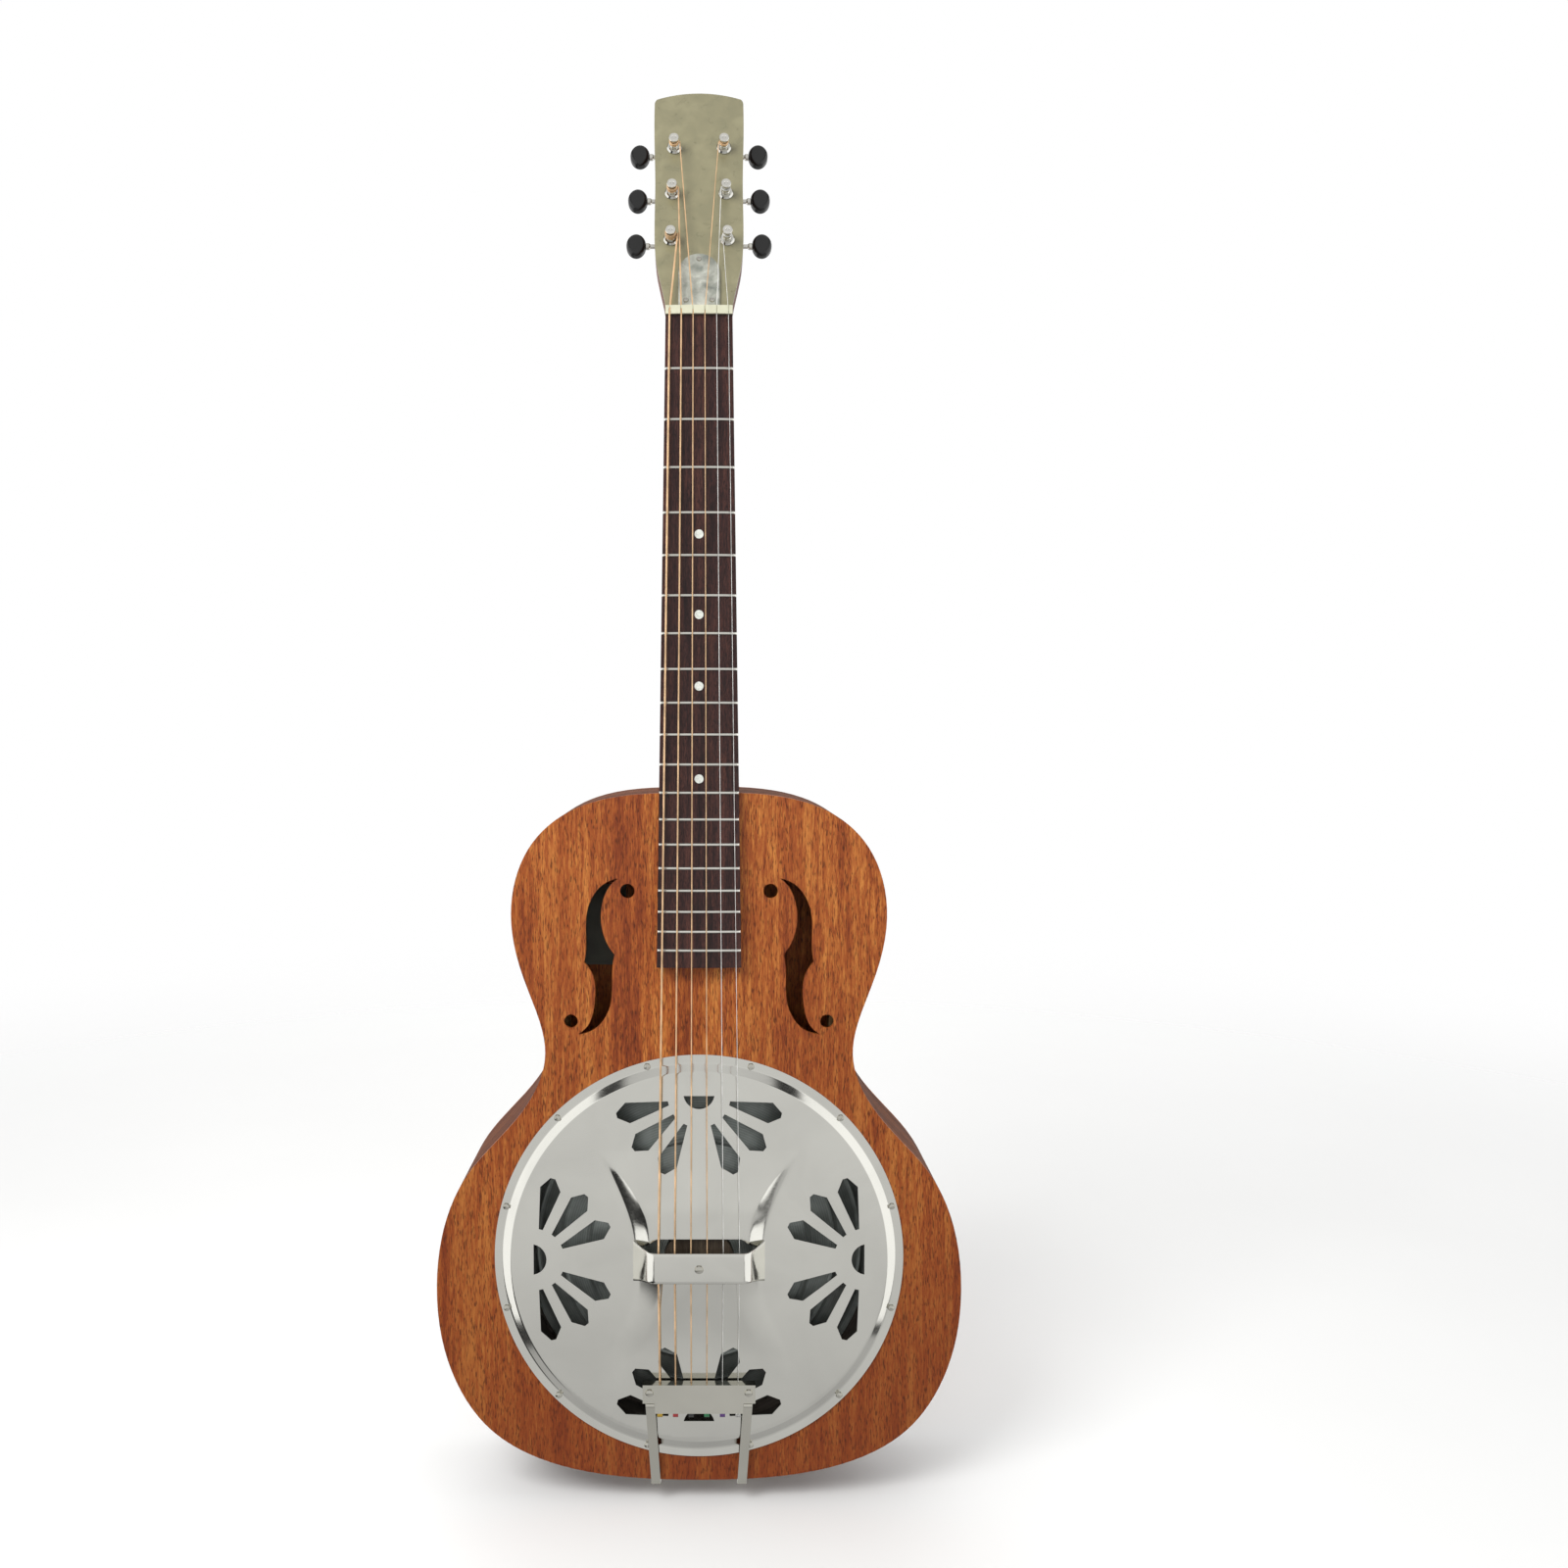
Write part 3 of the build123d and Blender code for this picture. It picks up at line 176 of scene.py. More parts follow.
PLATE_RADIUS = 139.5
FLANGE_HEIGHT = 1.0
SLOPE_FOOT = 134.4
SLOPE_TOP = 128.0
TAIL_SLOPE_TOP = 126.4
SHOULDER_HEIGHT = 4.6
DOME_HEIGHT = 8.8
PLATEAU_HEIGHT = 13.3
# The plateau's plan above and below the middle: where it ends, how far it stays level, how much
# it flares and how late, and by how much its flank widens within what distance
NORTH = dict(end=76.0, level=33.0, flare=27.3, bend=1.9, widening=3.0, wide_at=30.0)
SOUTH = dict(end=68.0, level=11.0, flare=24.0, bend=2.2, widening=11.0, wide_at=12.0)
WAIST = 43.5
FLANK = 11.0
HORN_NARROWING = 12.0
PLATEAU_ROUNDING = 0.2
SHEET = 1.0
FAN_RADIUS = 112.4
PETAL = ((21.3, 1.4), (49.7, 7.1), (57.3, 1.7))
PETAL_ANGLES = (25.5, 51.0, 76.5)
HALF_MOON = (10.45, 8.8)
OPENING = ((43.0, 5.6), (28.5, 15.2))
OPENING_CENTRE = 1.8
GRID_STEP = 1.5
GRID_MARGIN = 1.6
HOLE_MARGIN = 2.0
HOLE_CLEARANCE = GRID_STEP * 0.6
EDGE_GAP = 0.6
SLOPE_RINGS = 14
FLANGE_RINGS = (134.6, 137.0, 139.0)
RIM_STEPS = 360


def pressed(t, rounding=0.15):
    """A straight slope from 0 to 1 with a little rounding at both ends, as a press leaves it."""
    t = np.clip(t, 0.0, 1.0)
    straight = (t - rounding / 2) / (1 - rounding)
    foot = t * t / (2 * rounding * (1 - rounding))
    top = 1 - (1 - t) ** 2 / (2 * rounding * (1 - rounding))
    return np.where(t < rounding, foot, np.where(t > 1 - rounding, top, straight))


def plate_height(x, y):
    """Height of the cover plate's front above the soundboard; its step is gentler towards the tail."""
    r = np.hypot(x, y)
    dome = DOME_HEIGHT - (DOME_HEIGHT - SHOULDER_HEIGHT) * (r / SLOPE_TOP) ** 2
    tailward = np.clip(-y / np.maximum(r, 1.0), 0, 1) ** 3
    slope_top = SLOPE_TOP + (TAIL_SLOPE_TOP - SLOPE_TOP) * tailward
    slope = pressed((SLOPE_FOOT - r) / (SLOPE_FOOT - slope_top))
    height = FLANGE_HEIGHT + (dome - FLANGE_HEIGHT) * slope
    raised = np.where(y > 0, plateau(x, y, NORTH), plateau(x, y, SOUTH))
    return height + (PLATEAU_HEIGHT - dome) * raised


def plateau(x, y, half):
    """How much of the plateau's full height stands at a place, from 0 to 1."""
    away = np.abs(y)
    reach = away / half["end"]
    foot = WAIST + half["flare"] * np.clip(reach, 0, 1) ** half["bend"]
    fade = np.clip((away - half["level"]) / (half["end"] - half["level"]), 0, 1)
    flank = FLANK + half["widening"] * smoothstep(away / half["wide_at"])
    if half is NORTH:
        flank = flank - HORN_NARROWING * np.clip(reach, 0, 1) ** 4
        ridge = 1 - smoothstep(fade)
    else:
        ridge = (1 - fade) ** 2 * (1 + 0.6 * fade)
    return ridge * pressed((foot - np.abs(x)) / flank, PLATEAU_ROUNDING)


def turned(points, angle):
    """Points turned about the middle by an angle in degrees."""
    c = math.cos(math.radians(angle))
    s = math.sin(math.radians(angle))
    return [(x * c - y * s, x * s + y * c) for x, y in points]


def fan_holes():
    """Outlines of a half moon and six petals in each quarter."""
    half, sagitta = HALF_MOON
    radius = (half ** 2 + sagitta ** 2) / (2 * sagitta)
    centre = radius - sagitta
    spread = math.asin(half / radius)
    angles = np.linspace(-spread, spread, 13)
    moon = [(radius * math.sin(angle), centre - radius * math.cos(angle)) for angle in angles]
    shape = [(w, -r) for r, w in PETAL] + [(-w, -r) for r, w in reversed(PETAL)]
    fan = [moon] + [turned(shape, sign * angle) for angle in PETAL_ANGLES for sign in (-1, 1)]
    holes = []
    for quarter in (0, 90, 180, 270):
        for hole in fan:
            holes.append(turned([(x, y + FAN_RADIUS) for x, y in hole], quarter))
    return holes


def opening_hole():
    """Outline of the opening under the hand rest."""
    corners = list(OPENING)
    corners += [(-x, y) for x, y in reversed(OPENING)]
    corners += [(-x, -y) for x, y in OPENING]
    corners += [(x, -y) for x, y in reversed(OPENING)]
    return [(x, y + OPENING_CENTRE) for x, y in corners]


def divided(outline, step):
    """A closed outline with points at most a step apart."""
    points = []
    for a, b in zip(outline, outline[1:] + outline[:1]):
        pieces = max(1, round(math.dist(a, b) / step))
        for k in range(pieces):
            points.append((a[0] + (b[0] - a[0]) * k / pieces, a[1] + (b[1] - a[1]) * k / pieces))
    return points


def inside(x, y, outline):
    """Which points lie inside a closed outline."""
    result = np.zeros(x.shape, bool)
    for (x0, y0), (x1, y1) in zip(outline, outline[1:] + outline[:1]):
        if y0 == y1:
            continue
        crosses = (y0 > y) != (y1 > y)
        result ^= crosses & (x < (x1 - x0) * (y - y0) / (y1 - y0) + x0)
    return result


def distance_to(x, y, points):
    """How far each place is from the nearest of some points."""
    best = np.full(x.shape, np.inf)
    for px, py in points:
        best = np.minimum(best, np.hypot(x - px, y - py))
    return best


def ring(radius):
    """Points round a circle."""
    angles = [2 * math.pi * step / RIM_STEPS for step in range(RIM_STEPS)]
    return [(radius * math.cos(angle), radius * math.sin(angle)) for angle in angles]


def plate_points(holes):
    """Grid points on the dome and rings on its edge, clear of the holes' outlines."""
    ticks = np.arange(-SLOPE_TOP, SLOPE_TOP, GRID_STEP)
    gx, gy = np.meshgrid(ticks, ticks)
    gx = (gx + np.where(np.arange(len(ticks)) % 2, 0.5, 0.0)[:, None] * GRID_STEP).ravel()
    gy = gy.ravel()
    keep = np.hypot(gx, gy) < SLOPE_TOP - GRID_MARGIN
    for outline in holes:
        low_x, low_y = np.min(outline, axis=0) - HOLE_MARGIN
        high_x, high_y = np.max(outline, axis=0) + HOLE_MARGIN
        near = (gx > low_x) & (gx < high_x) & (gy > low_y) & (gy < high_y)
        index = np.nonzero(near & keep)[0]
        bad = inside(gx[index], gy[index], outline)
        bad |= distance_to(gx[index], gy[index], outline) < HOLE_CLEARANCE
        keep[index[bad]] = False
    points = list(zip(gx[keep], gy[keep]))
    slope = np.linspace(SLOPE_TOP, SLOPE_FOOT, SLOPE_RINGS)
    for radius in (SLOPE_TOP - EDGE_GAP, *slope, *FLANGE_RINGS):
        points += ring(radius)
    return points


def plate_plan():
    """The plate's plan as (points, triangles), with its holes left open."""
    holes = [divided(outline, GRID_STEP) for outline in fan_holes() + [opening_hole()]]
    points = plate_points(holes)
    edges = []
    for outline in holes + [ring(PLATE_RADIUS)]:
        start = len(points)
        points += outline
        edges += [(start + k, start + (k + 1) % len(outline)) for k in range(len(outline))]
    flat, _, triangles, *_ = delaunay_2d_cdt([Vector(p) for p in points], edges, [], 0, 1e-5)
    flat = np.array([(p.x, p.y) for p in flat])
    triangles = np.array(triangles)
    middle = flat[triangles].mean(axis=1)
    keep = np.hypot(middle[:, 0], middle[:, 1]) < PLATE_RADIUS
    for outline in holes:
        keep &= ~inside(middle[:, 0], middle[:, 1], outline)
    return flat, triangles[keep]


def sheet_mesh():
    """The pressed sheet as (vertices, faces): front, back and every cut edge."""
    flat, triangles = plate_plan()
    front = plate_height(flat[:, 0], flat[:, 1])
    count = len(flat)
    verts = [(x, y, h) for (x, y), h in zip(flat, front)]
    verts += [(x, y, h - SHEET) for (x, y), h in zip(flat, front)]
    faces = [tuple(int(i) for i in t) for t in triangles]
    faces += [tuple(int(i) + count for i in reversed(t)) for t in triangles]
    used = {}
    for a, b, c in triangles:
        for pair in ((a, b), (b, c), (c, a)):
            key = (min(pair), max(pair))
            used.setdefault(key, []).append(pair)
    for pairs in used.values():
        if len(pairs) == 1:
            a, b = (int(i) for i in pairs[0])
            faces.append((b, a, a + count, b + count))
    return verts, faces


# The strap's flat run and feet across, its heights, and its half widths and middles along the guitar
HAND_REST = dict(
    flat=31.0, foot=44.6, low=9.2, top=25.8, sheet=1.2, bend=5.0,
    half=10.25, centre=1.7, foot_half=14.0, foot_centre=0.6,
)
FOOT_FLARE = 1.6


def hand_rest_path():
    """Middle line of the strap's front face, as (across, height), with rounded bends."""
    rest = HAND_REST
    corner = Vector((rest["flat"] + rest["sheet"], rest["top"]))
    foot = Vector((rest["foot"], rest["low"]))
    start = corner - Vector((rest["bend"], 0))
    leave = corner + (foot - corner).normalized() * rest["bend"]
    right = [foot, foot + (leave - foot) * 0.33, foot + (leave - foot) * 0.66]
    for step in range(9):
        t = step / 8
        right.append(leave * (1 - t) ** 2 + corner * (2 * t * (1 - t)) + start * t ** 2)
    middle = [Vector((start.x * k, rest["top"])) for k in (0.66, 0.33, 0.0)]
    path = right + middle
    return path + [Vector((-p.x, p.y)) for p in reversed(path[:-1])]


def hand_rest_section():
    """The strap's cross section as (part of its half width, depth): softly rolled edges, flat back."""
    front = [(-1.0, -0.75), (-0.985, -0.25), (-0.95, -0.05), (-0.8, 0.0), (-0.4, 0.0), (0.0, 0.0)]
    front += [(-v, d) for v, d in reversed(front[:-1])]
    back = [(v * 0.97, -1.0) for v in (1.0, 0.5, 0.0, -0.5, -1.0)]
    return [(v, d * HAND_REST["sheet"]) for v, d in front + back]


def hand_rest_mesh():
    """The strap: a sheet that follows its path and flares towards its feet."""
    rest = HAND_REST
    path = hand_rest_path()
    rows = []
    for k, point in enumerate(path):
        before = path[max(k - 1, 0)]
        after = path[min(k + 1, len(path) - 1)]
        along = (after - before).normalized()
        out = Vector((-along.y, along.x))
        if out.y < 0:
            out = -out
        flare = max(0.0, (rest["top"] - point.y) / (rest["top"] - rest["low"])) ** FOOT_FLARE
        half = rest["half"] + flare * (rest["foot_half"] - rest["half"])
        centre = rest["centre"] + flare * (rest["foot_centre"] - rest["centre"])
        row = [(point.x + out.x * d, centre + v * half, point.y + out.y * d) for v, d in hand_rest_section()]
        rows.append(row)
    return skin(rows)


plate = piece("cover_plate", *sheet_mesh(), RESONATOR, "guitar", "nickel_plate", ["coverplate"], smooth=40.0)
hand_rest = piece("hand_rest", *hand_rest_mesh(), RESONATOR, "guitar", "nickel_plate", smooth=45.0)


# Cone

# The apex and the low rim are heights; the flat top, the shoulder and the rim's edge are radii
CONE = dict(apex=3.0, flat=24.0, shoulder=116.0, rim=120.4, low=-24.4, skin=0.55, ridges=5, ridge=1.3)
RIDGE_PHASE = 0.86
RIDGE_WIDTH = 0.07
CONE_STEPS = 100


def cone_profile():
    """A spun cone with raised rings between flat runs."""
    cone = CONE
    outer = [(radius, cone["apex"]) for radius in (0.01, 14.0, 23.0)]
    outer.append((cone["flat"], cone["apex"] - 0.1))
    for step in range(1, CONE_STEPS + 1):
        t = step / CONE_STEPS
        radius = cone["flat"] + t * (cone["shoulder"] - cone["flat"])
        phase = (t * cone["ridges"]) % 1.0
        swell = math.exp(-(((phase - RIDGE_PHASE) / RIDGE_WIDTH) ** 2))
        height = cone["apex"] + (cone["low"] - cone["apex"]) * t + cone["ridge"] * swell
        outer.append((radius, height))
    outer += [(cone["shoulder"] + 1.5, cone["low"]), (cone["rim"], cone["low"])]
    inner = [(r, h - cone["skin"]) for r, h in reversed(outer)]
    return outer + inner


cone_mesh = lathe(cone_profile(), 192)
cone = piece("spun_cone", *cone_mesh, RESONATOR, "guitar", "spun_aluminium", ["cone"], smooth=35.0)


# Frets

FRET_CROWN = (1.0, 1.1)
FRET_INSET = 0.05
FRET_SEAT = 0.02
# Places along half a wire, and how much of the crown stands there
FRET_STATIONS = ((1.0, 0.02), (0.985, 0.55), (0.96, 0.95), (0.7, 1.0), (0.35, 1.0))


def fret_mesh(number):
    """A fret wire with a half-round crown that follows the camber, its ends sloped and rounded."""
    station = SCALE * (1 - 2 ** (-number / 12))
    widening = (BOARD_WIDTHS[1] - BOARD_WIDTHS[0]) * station / BOARD_LENGTH
    half = (BOARD_WIDTHS[0] + widening) / 2 - FRET_INSET
    angles = [math.pi * step / 8 for step in range(9)]
    profile = [(FRET_CROWN[0] * math.cos(angle), FRET_CROWN[1] * math.sin(angle)) for angle in angles]
    left = [(-place, lift) for place, lift in FRET_STATIONS]
    rows = []
    for place, lift in left + [(0.0, 1.0)] + list(reversed(FRET_STATIONS)):
        x = place * half
        drop = CAMBER - math.sqrt(CAMBER ** 2 - x ** 2)
        base = BOARD_THICKNESS - drop - FRET_SEAT
        rows.append([(x, JOIN - station + across, base + rise * lift) for across, rise in profile])
    return skin(rows)


fret_wires = merged([fret_mesh(number) for number in range(1, FRETS + 1)])
frets = piece("fret_wires", *fret_wires, NECK, "guitar", "fret_wire", ["frets"], smooth=50.0)


# Tuning machines

STRING_DIAMETERS = (1.35, 1.07, 0.81, 0.61, 0.43, 0.33)
WOUND_STRINGS = 4
# A post's outline from its foot on the wheel to its capped head, as (radius, height)
POST_PROFILE = (
    (0.01, -20.75), (2.0, -20.75), (2.0, -15.0), (3.0, -15.0), (3.0, 5.3), (2.9, 5.7),
    (2.6, 6.1), (2.5, 8.0), (2.55, 10.4), (2.75, 11.2), (3.25, 11.7), (3.4, 12.1),
    (3.4, 12.5), (3.2, 12.85), (2.6, 13.0), (1.5, 12.98), (1.1, 12.7), (0.01, 12.6),
)
POST_WAIST = 2.6
WINDING_MIDDLE = 8.6
WRAPS = 4
WRAP_SIDES = 28
# Parts of the string's radius and of its diameter, so that the turns touch and press in a little
WRAP_RADIUS = 0.96
WRAP_PITCH = 0.95


def winding_mesh(radius):
    """String wrapped round the post's waist."""
    middle = POST_WAIST + radius * WRAP_RADIUS
    start = WINDING_MIDDLE - (WRAPS - 0.5) * radius
    rise = 2 * radius * WRAP_PITCH * (WRAPS - 1) / WRAPS
    points = []
    for step in range(WRAPS * WRAP_SIDES + 1):
        angle = 2 * math.pi * step / WRAP_SIDES
        height = start + rise * step / WRAP_SIDES
        points.append((middle * math.cos(angle), middle * math.sin(angle), height))
    return tube(points, radius * WRAP_RADIUS, 8)


def machine_place(number):
    """Where a machine's post stands: on the headstock's wood, with local Z out of its face."""
    joint = next(j for j in frame["joints"] if j["name"] == f"post_{number}_turn")
    spot = Vector(joint["pos_m"]) / MM
    return Matrix.Translation(spot) @ HEAD.to_3x3().to_4x4()


posts = []
wraps = []
post_mesh = lathe(POST_PROFILE, 40)
for number in range(1, 7):
    body = f"machine_{number}_post"
    place = machine_place(number)
    replaced = [f"tuner_post_{number}"]
    posts.append(piece(f"post_{number}", *post_mesh, place, body, "post_nickel", replaced))
    string = number - 1 if number <= 3 else 9 - number
    slot = "bronze_string" if string < WOUND_STRINGS else "steel_string"
    coil = winding_mesh(STRING_DIAMETERS[string] / 2)
    wraps.append((piece(f"winding_{number}", *coil, place, body, slot), slot))


# Materials

class Tree:
    """A material's node tree, with short calls for what the finishes need."""

    def __init__(self, name):
        self.material = bpy.data.materials.new(name)
        self.material.use_nodes = True
        self.nodes = self.material.node_tree.nodes
        self.links = self.material.node_tree.links
        self.shader = self.nodes["Principled BSDF"]
        self.place = self.nodes.new("ShaderNodeTexCoord").outputs["Object"]

    def set(self, **values):
        """Put constant values on the shader."""
        for name, value in values.items():
            self.shader.inputs[name.replace("_", " ")].default_value = value
        return self

    def node(self, kind, sources=(), **settings):
        """A new node with its settings and with values or links on its inputs."""
        made = self.nodes.new("ShaderNode" + kind)
        for key, value in settings.items():
            setattr(made, key, value)
        for key, source in dict(sources).items():
            socket = made.inputs[key]
            if isinstance(source, bpy.types.NodeSocket):
                self.links.new(source, socket)
            else:
                socket.default_value = source
        return made

    def math(self, operation, *values):
        """The result of a sum on values or links."""
        return self.node("Math", enumerate(values), operation=operation).outputs[0]

    def length(self, across, up):
        """Distance from the middle, from two distances at right angles."""
        squares = [self.math("POWER", value, 2.0) for value in (across, up)]
        return self.math("SQRT", self.math("ADD", *squares))

    def noise(self, scale, detail=3.0, distortion=0.0, source=None, roughness=0.5):
        """Noise with a scale of its own in each direction."""
        stretched = self.node("Mapping", {"Vector": source or self.place, "Scale": scale}).outputs[0]
        settings = {"Scale": 1.0, "Detail": detail, "Distortion": distortion, "Roughness": roughness}
        return self.node("TexNoise", {"Vector": stretched, **settings}).outputs["Fac"]

    def span(self, source, low, high, to_low=0.0, to_high=1.0):
        """A value's run between two limits turned into a run between two others."""
        sources = {"Value": source, "From Min": low, "From Max": high, "To Min": to_low, "To Max": to_high}
        return self.node("MapRange", sources).outputs[0]

    def ramp(self, source, *stops):
        """Colours for a value, from stops of (position, colour)."""
        made = self.node("ValToRGB", {"Fac": source})
        colours = made.color_ramp.elements
        while len(colours) < len(stops):
            colours.new(0.5)
        for element, (position, colour) in zip(colours, stops):
            element.position = position
            element.color = (*linear(colour), 1.0)
        return made.outputs["Color"]

    def mix(self, factor, first, second):
        """One colour over another by a factor."""
        made = self.node("Mix", data_type="RGBA")
        for key, value in (("Factor", factor), (6, first), (7, second)):
            socket = made.inputs[key]
            if isinstance(value, bpy.types.NodeSocket):
                self.links.new(value, socket)
            elif isinstance(value, tuple):
                socket.default_value = (*linear(value), 1.0)
            else:
                socket.default_value = value
        return made.outputs[2]

    def bump(self, height, strength, distance):
        """Roughen the shader's surface by a height."""
        normal = self.node("Bump", {"Height": height, "Strength": strength, "Distance": distance})
        self.links.new(normal.outputs[0], self.shader.inputs["Normal"])
        return self

    def feed(self, **sources):
        """Link sources to the shader's inputs."""
        for name, source in sources.items():
            self.links.new(source, self.shader.inputs[name.replace("_", " ")])
        return self


def linear(colour):
    """Linear values of a colour given on the usual 0 to 255 scale."""
    return tuple(c / 255 / 12.92 if c < 10.3 else ((c / 255 + 0.055) / 1.055) ** 2.4 for c in colour)


def darker(colour, part):
    """A colour with only a part of its brightness."""
    return tuple(c * part for c in colour)


# Heights between which painted shade, darkest low down where the guitar gets less light, fades out to the timber's
# own colour
PAINTED_SHADE_HEIGHTS = (0.02, 0.36)
# How far each direction is squeezed: grain up the guitar, or round its sides
GRAINS = {"up": (1.0, 1.0, 0.06), "round": (0.06, 1.0, 0.06)}


def along_grain(grain, scale, squeeze=1.0):
    """A noise scale for each direction, drawn out along the grain."""
    return tuple(scale if g == 1.0 else scale * g * squeeze for g in GRAINS[grain])


def wood(
    name, dark, middle, light, grain="up", rough=0.5, pores=0.7, fine=1.0,
    bookmatch=False, sheen=0.25, low=0.0,
):
    """Open-pored timber: bands, streaks, fibres and pores along the grain, and painted shade darker low down if
    asked.
    """
    tree = Tree(name)
    source = tree.place
    if bookmatch:
        parts = tree.node("SeparateXYZ", {"Vector": tree.place}).outputs
        folded = {"X": tree.math("ABSOLUTE", parts[0]), "Y": parts[1], "Z": parts[2]}
        source = tree.node("CombineXYZ", folded).outputs[0]
    bands = tree.noise(along_grain(grain, 62.0 * fine, 0.5), 2.0, 0.5, source)
    streaks = tree.noise(along_grain(grain, 230.0 * fine), 3.0, 0.4, source, 0.6)
    fibres = tree.noise(along_grain(grain, 950.0 * fine, 1.7), 3.0, 0.2, source, 0.7)
    cloud = tree.noise((9.0, 9.0, 4.0), 2.0, 0.4, source)
    blend = tree.math("ADD", tree.math("MULTIPLY", bands, 0.3), tree.math("MULTIPLY", streaks, 0.3))
    blend = tree.math("ADD", blend, tree.math("MULTIPLY", fibres, 0.4))
    colour = tree.ramp(blend, (0.4, dark), (0.5, middle), (0.61, light))
    colour = tree.mix(tree.span(cloud, 0.35, 0.7, 0.0, 0.3), colour, dark)
    # Painted shade: the wood darkens towards the foot of the guitar, where less light falls
    if low:
        height = tree.node("SeparateXYZ", {"Vector": tree.place}).outputs[2]
        colour = tree.mix(tree.span(height, *PAINTED_SHADE_HEIGHTS, low, 0.0), colour, dark)
    dash = tree.noise(along_grain(grain, 1500.0 * fine, 2.2), 1.0, 0.0, source)
    pore = tree.span(dash, 0.57, 0.66)
    colour = tree.mix(tree.math("MULTIPLY", pore, pores), colour, darker(dark, 0.5))
    tree.feed(Base_Color=colour, Roughness=tree.span(fibres, 0.3, 0.7, rough - 0.07, rough + 0.09))
    relief = tree.math("SUBTRACT", tree.math("MULTIPLY", fibres, 0.35), pore)
    tree.bump(relief, 0.35, 0.0002)
    return tree.set(Specular_IOR_Level=sheen).material


def metal(name, colour, rough, scale=(240.0, 240.0, 240.0), strength=0.04):
    """Plated metal with faint polishing marks and cloudy wear."""
    tree = Tree(name)
    cloud = tree.noise((22.0, 22.0, 22.0), 4.0, 0.6)
    marks = tree.noise(scale, 3.0, 0.0, None, 0.6)
    tree.feed(Base_Color=tree.mix(tree.span(cloud, 0.35, 0.75, 0.0, 0.4), colour, darker(colour, 0.9)))
    polish = tree.span(marks, 0.3, 0.7, rough - 0.02, rough + 0.03)
    tree.feed(Roughness=tree.math("ADD", tree.span(cloud, 0.3, 0.7, -0.02, 0.03), polish))
    tree.bump(marks, strength, 0.0001)
    return tree.set(Metallic=1.0).material


def turned_metal(name, colour, rough, centre, pitch, dullness):
    """Spun sheet with fine circular tool marks about a centre on the front."""
    tree = Tree(name)
    parts = tree.node("SeparateXYZ", {"Vector": tree.place}).outputs
    height = tree.math("SUBTRACT", parts[2], centre)
    radius = tree.length(parts[0], height)
    rings = tree.math("SINE", tree.math("MULTIPLY", radius, 2 * math.pi / pitch))
    cloud = tree.noise((60.0, 60.0, 60.0), 4.0, 0.4)
    shade = tree.math("ADD", tree.math("MULTIPLY", rings, 0.12), cloud)
    tree.feed(Base_Color=tree.ramp(shade, (0.3, darker(colour, 0.82)), (0.7, colour)))
    tree.feed(Roughness=tree.span(shade, 0.2, 0.8, rough - 0.05, rough + 0.08))
    tree.bump(rings, 0.15, 0.0001)
    return tree.set(Metallic=1.0 - dullness).material


def pearl(name, low, middle, high, scale, rough=0.3):
    """Pearl celluloid: soft-edged flakes of slightly different tone under a clear surface."""
    tree = Tree(name)
    warp = tree.node("TexNoise", {"Vector": tree.place, "Scale": scale * 0.8, "Detail": 3.0}).outputs["Color"]
    offset = tree.node("VectorMath", {0: warp, "Scale": 0.018}, operation="SCALE").outputs[0]
    spot = tree.node("VectorMath", {0: tree.place, 1: offset}, operation="ADD").outputs[0]
    flake = tree.node("TexVoronoi", {"Vector": spot, "Scale": scale}, feature="SMOOTH_F1").outputs["Distance"]
    cloud = tree.node("TexNoise", {"Vector": spot, "Scale": scale * 1.7, "Detail": 5.0}).outputs["Fac"]
    tone = tree.math("ADD", tree.math("MULTIPLY", flake, 0.45), tree.math("MULTIPLY", cloud, 0.65))
    tree.feed(Base_Color=tree.ramp(tone, (0.32, low), (0.52, middle), (0.72, high)))
    tree.feed(Roughness=tree.span(cloud, 0.3, 0.7, rough - 0.05, rough + 0.1))
    return tree.set(Coat_Weight=0.35, Coat_Roughness=0.12).material


def wire(name, colour, rough, pitch, dullness):
    """String wire with fine ridges or drawing marks across it, a pitch apart."""
    tree = Tree(name)
    parts = tree.node("SeparateXYZ", {"Vector": tree.place}).outputs
    ridge = tree.math("SINE", tree.math("MULTIPLY", parts[2], 2 * math.pi / pitch))
    cloud = tree.noise((30.0, 30.0, 90.0), 3.0)
    tree.feed(Base_Color=tree.mix(tree.span(cloud, 0.3, 0.7), colour, darker(colour, 0.8)))
    tree.feed(Roughness=tree.span(cloud, 0.3, 0.7, rough - 0.04, rough + 0.06))
    tree.bump(ridge, 0.4, 0.0001)
    return tree.set(Metallic=1.0 - dullness).material


def plastic(name, colour, rough, grain=500.0, strength=0.06):
    """Moulded or cast surface with a slight grain and handling marks."""
    tree = Tree(name)
    cloud = tree.noise((70.0, 70.0, 70.0), 4.0)
    fine = tree.noise((grain, grain, grain), 2.0)
    tree.feed(Base_Color=tree.mix(tree.span(cloud, 0.35, 0.7, 0.0, 0.5), colour, darker(colour, 0.86)))
    tree.feed(Roughness=tree.span(cloud, 0.3, 0.7, rough - 0.05, rough + 0.08))
    return tree.bump(fine, strength, 0.0001).material


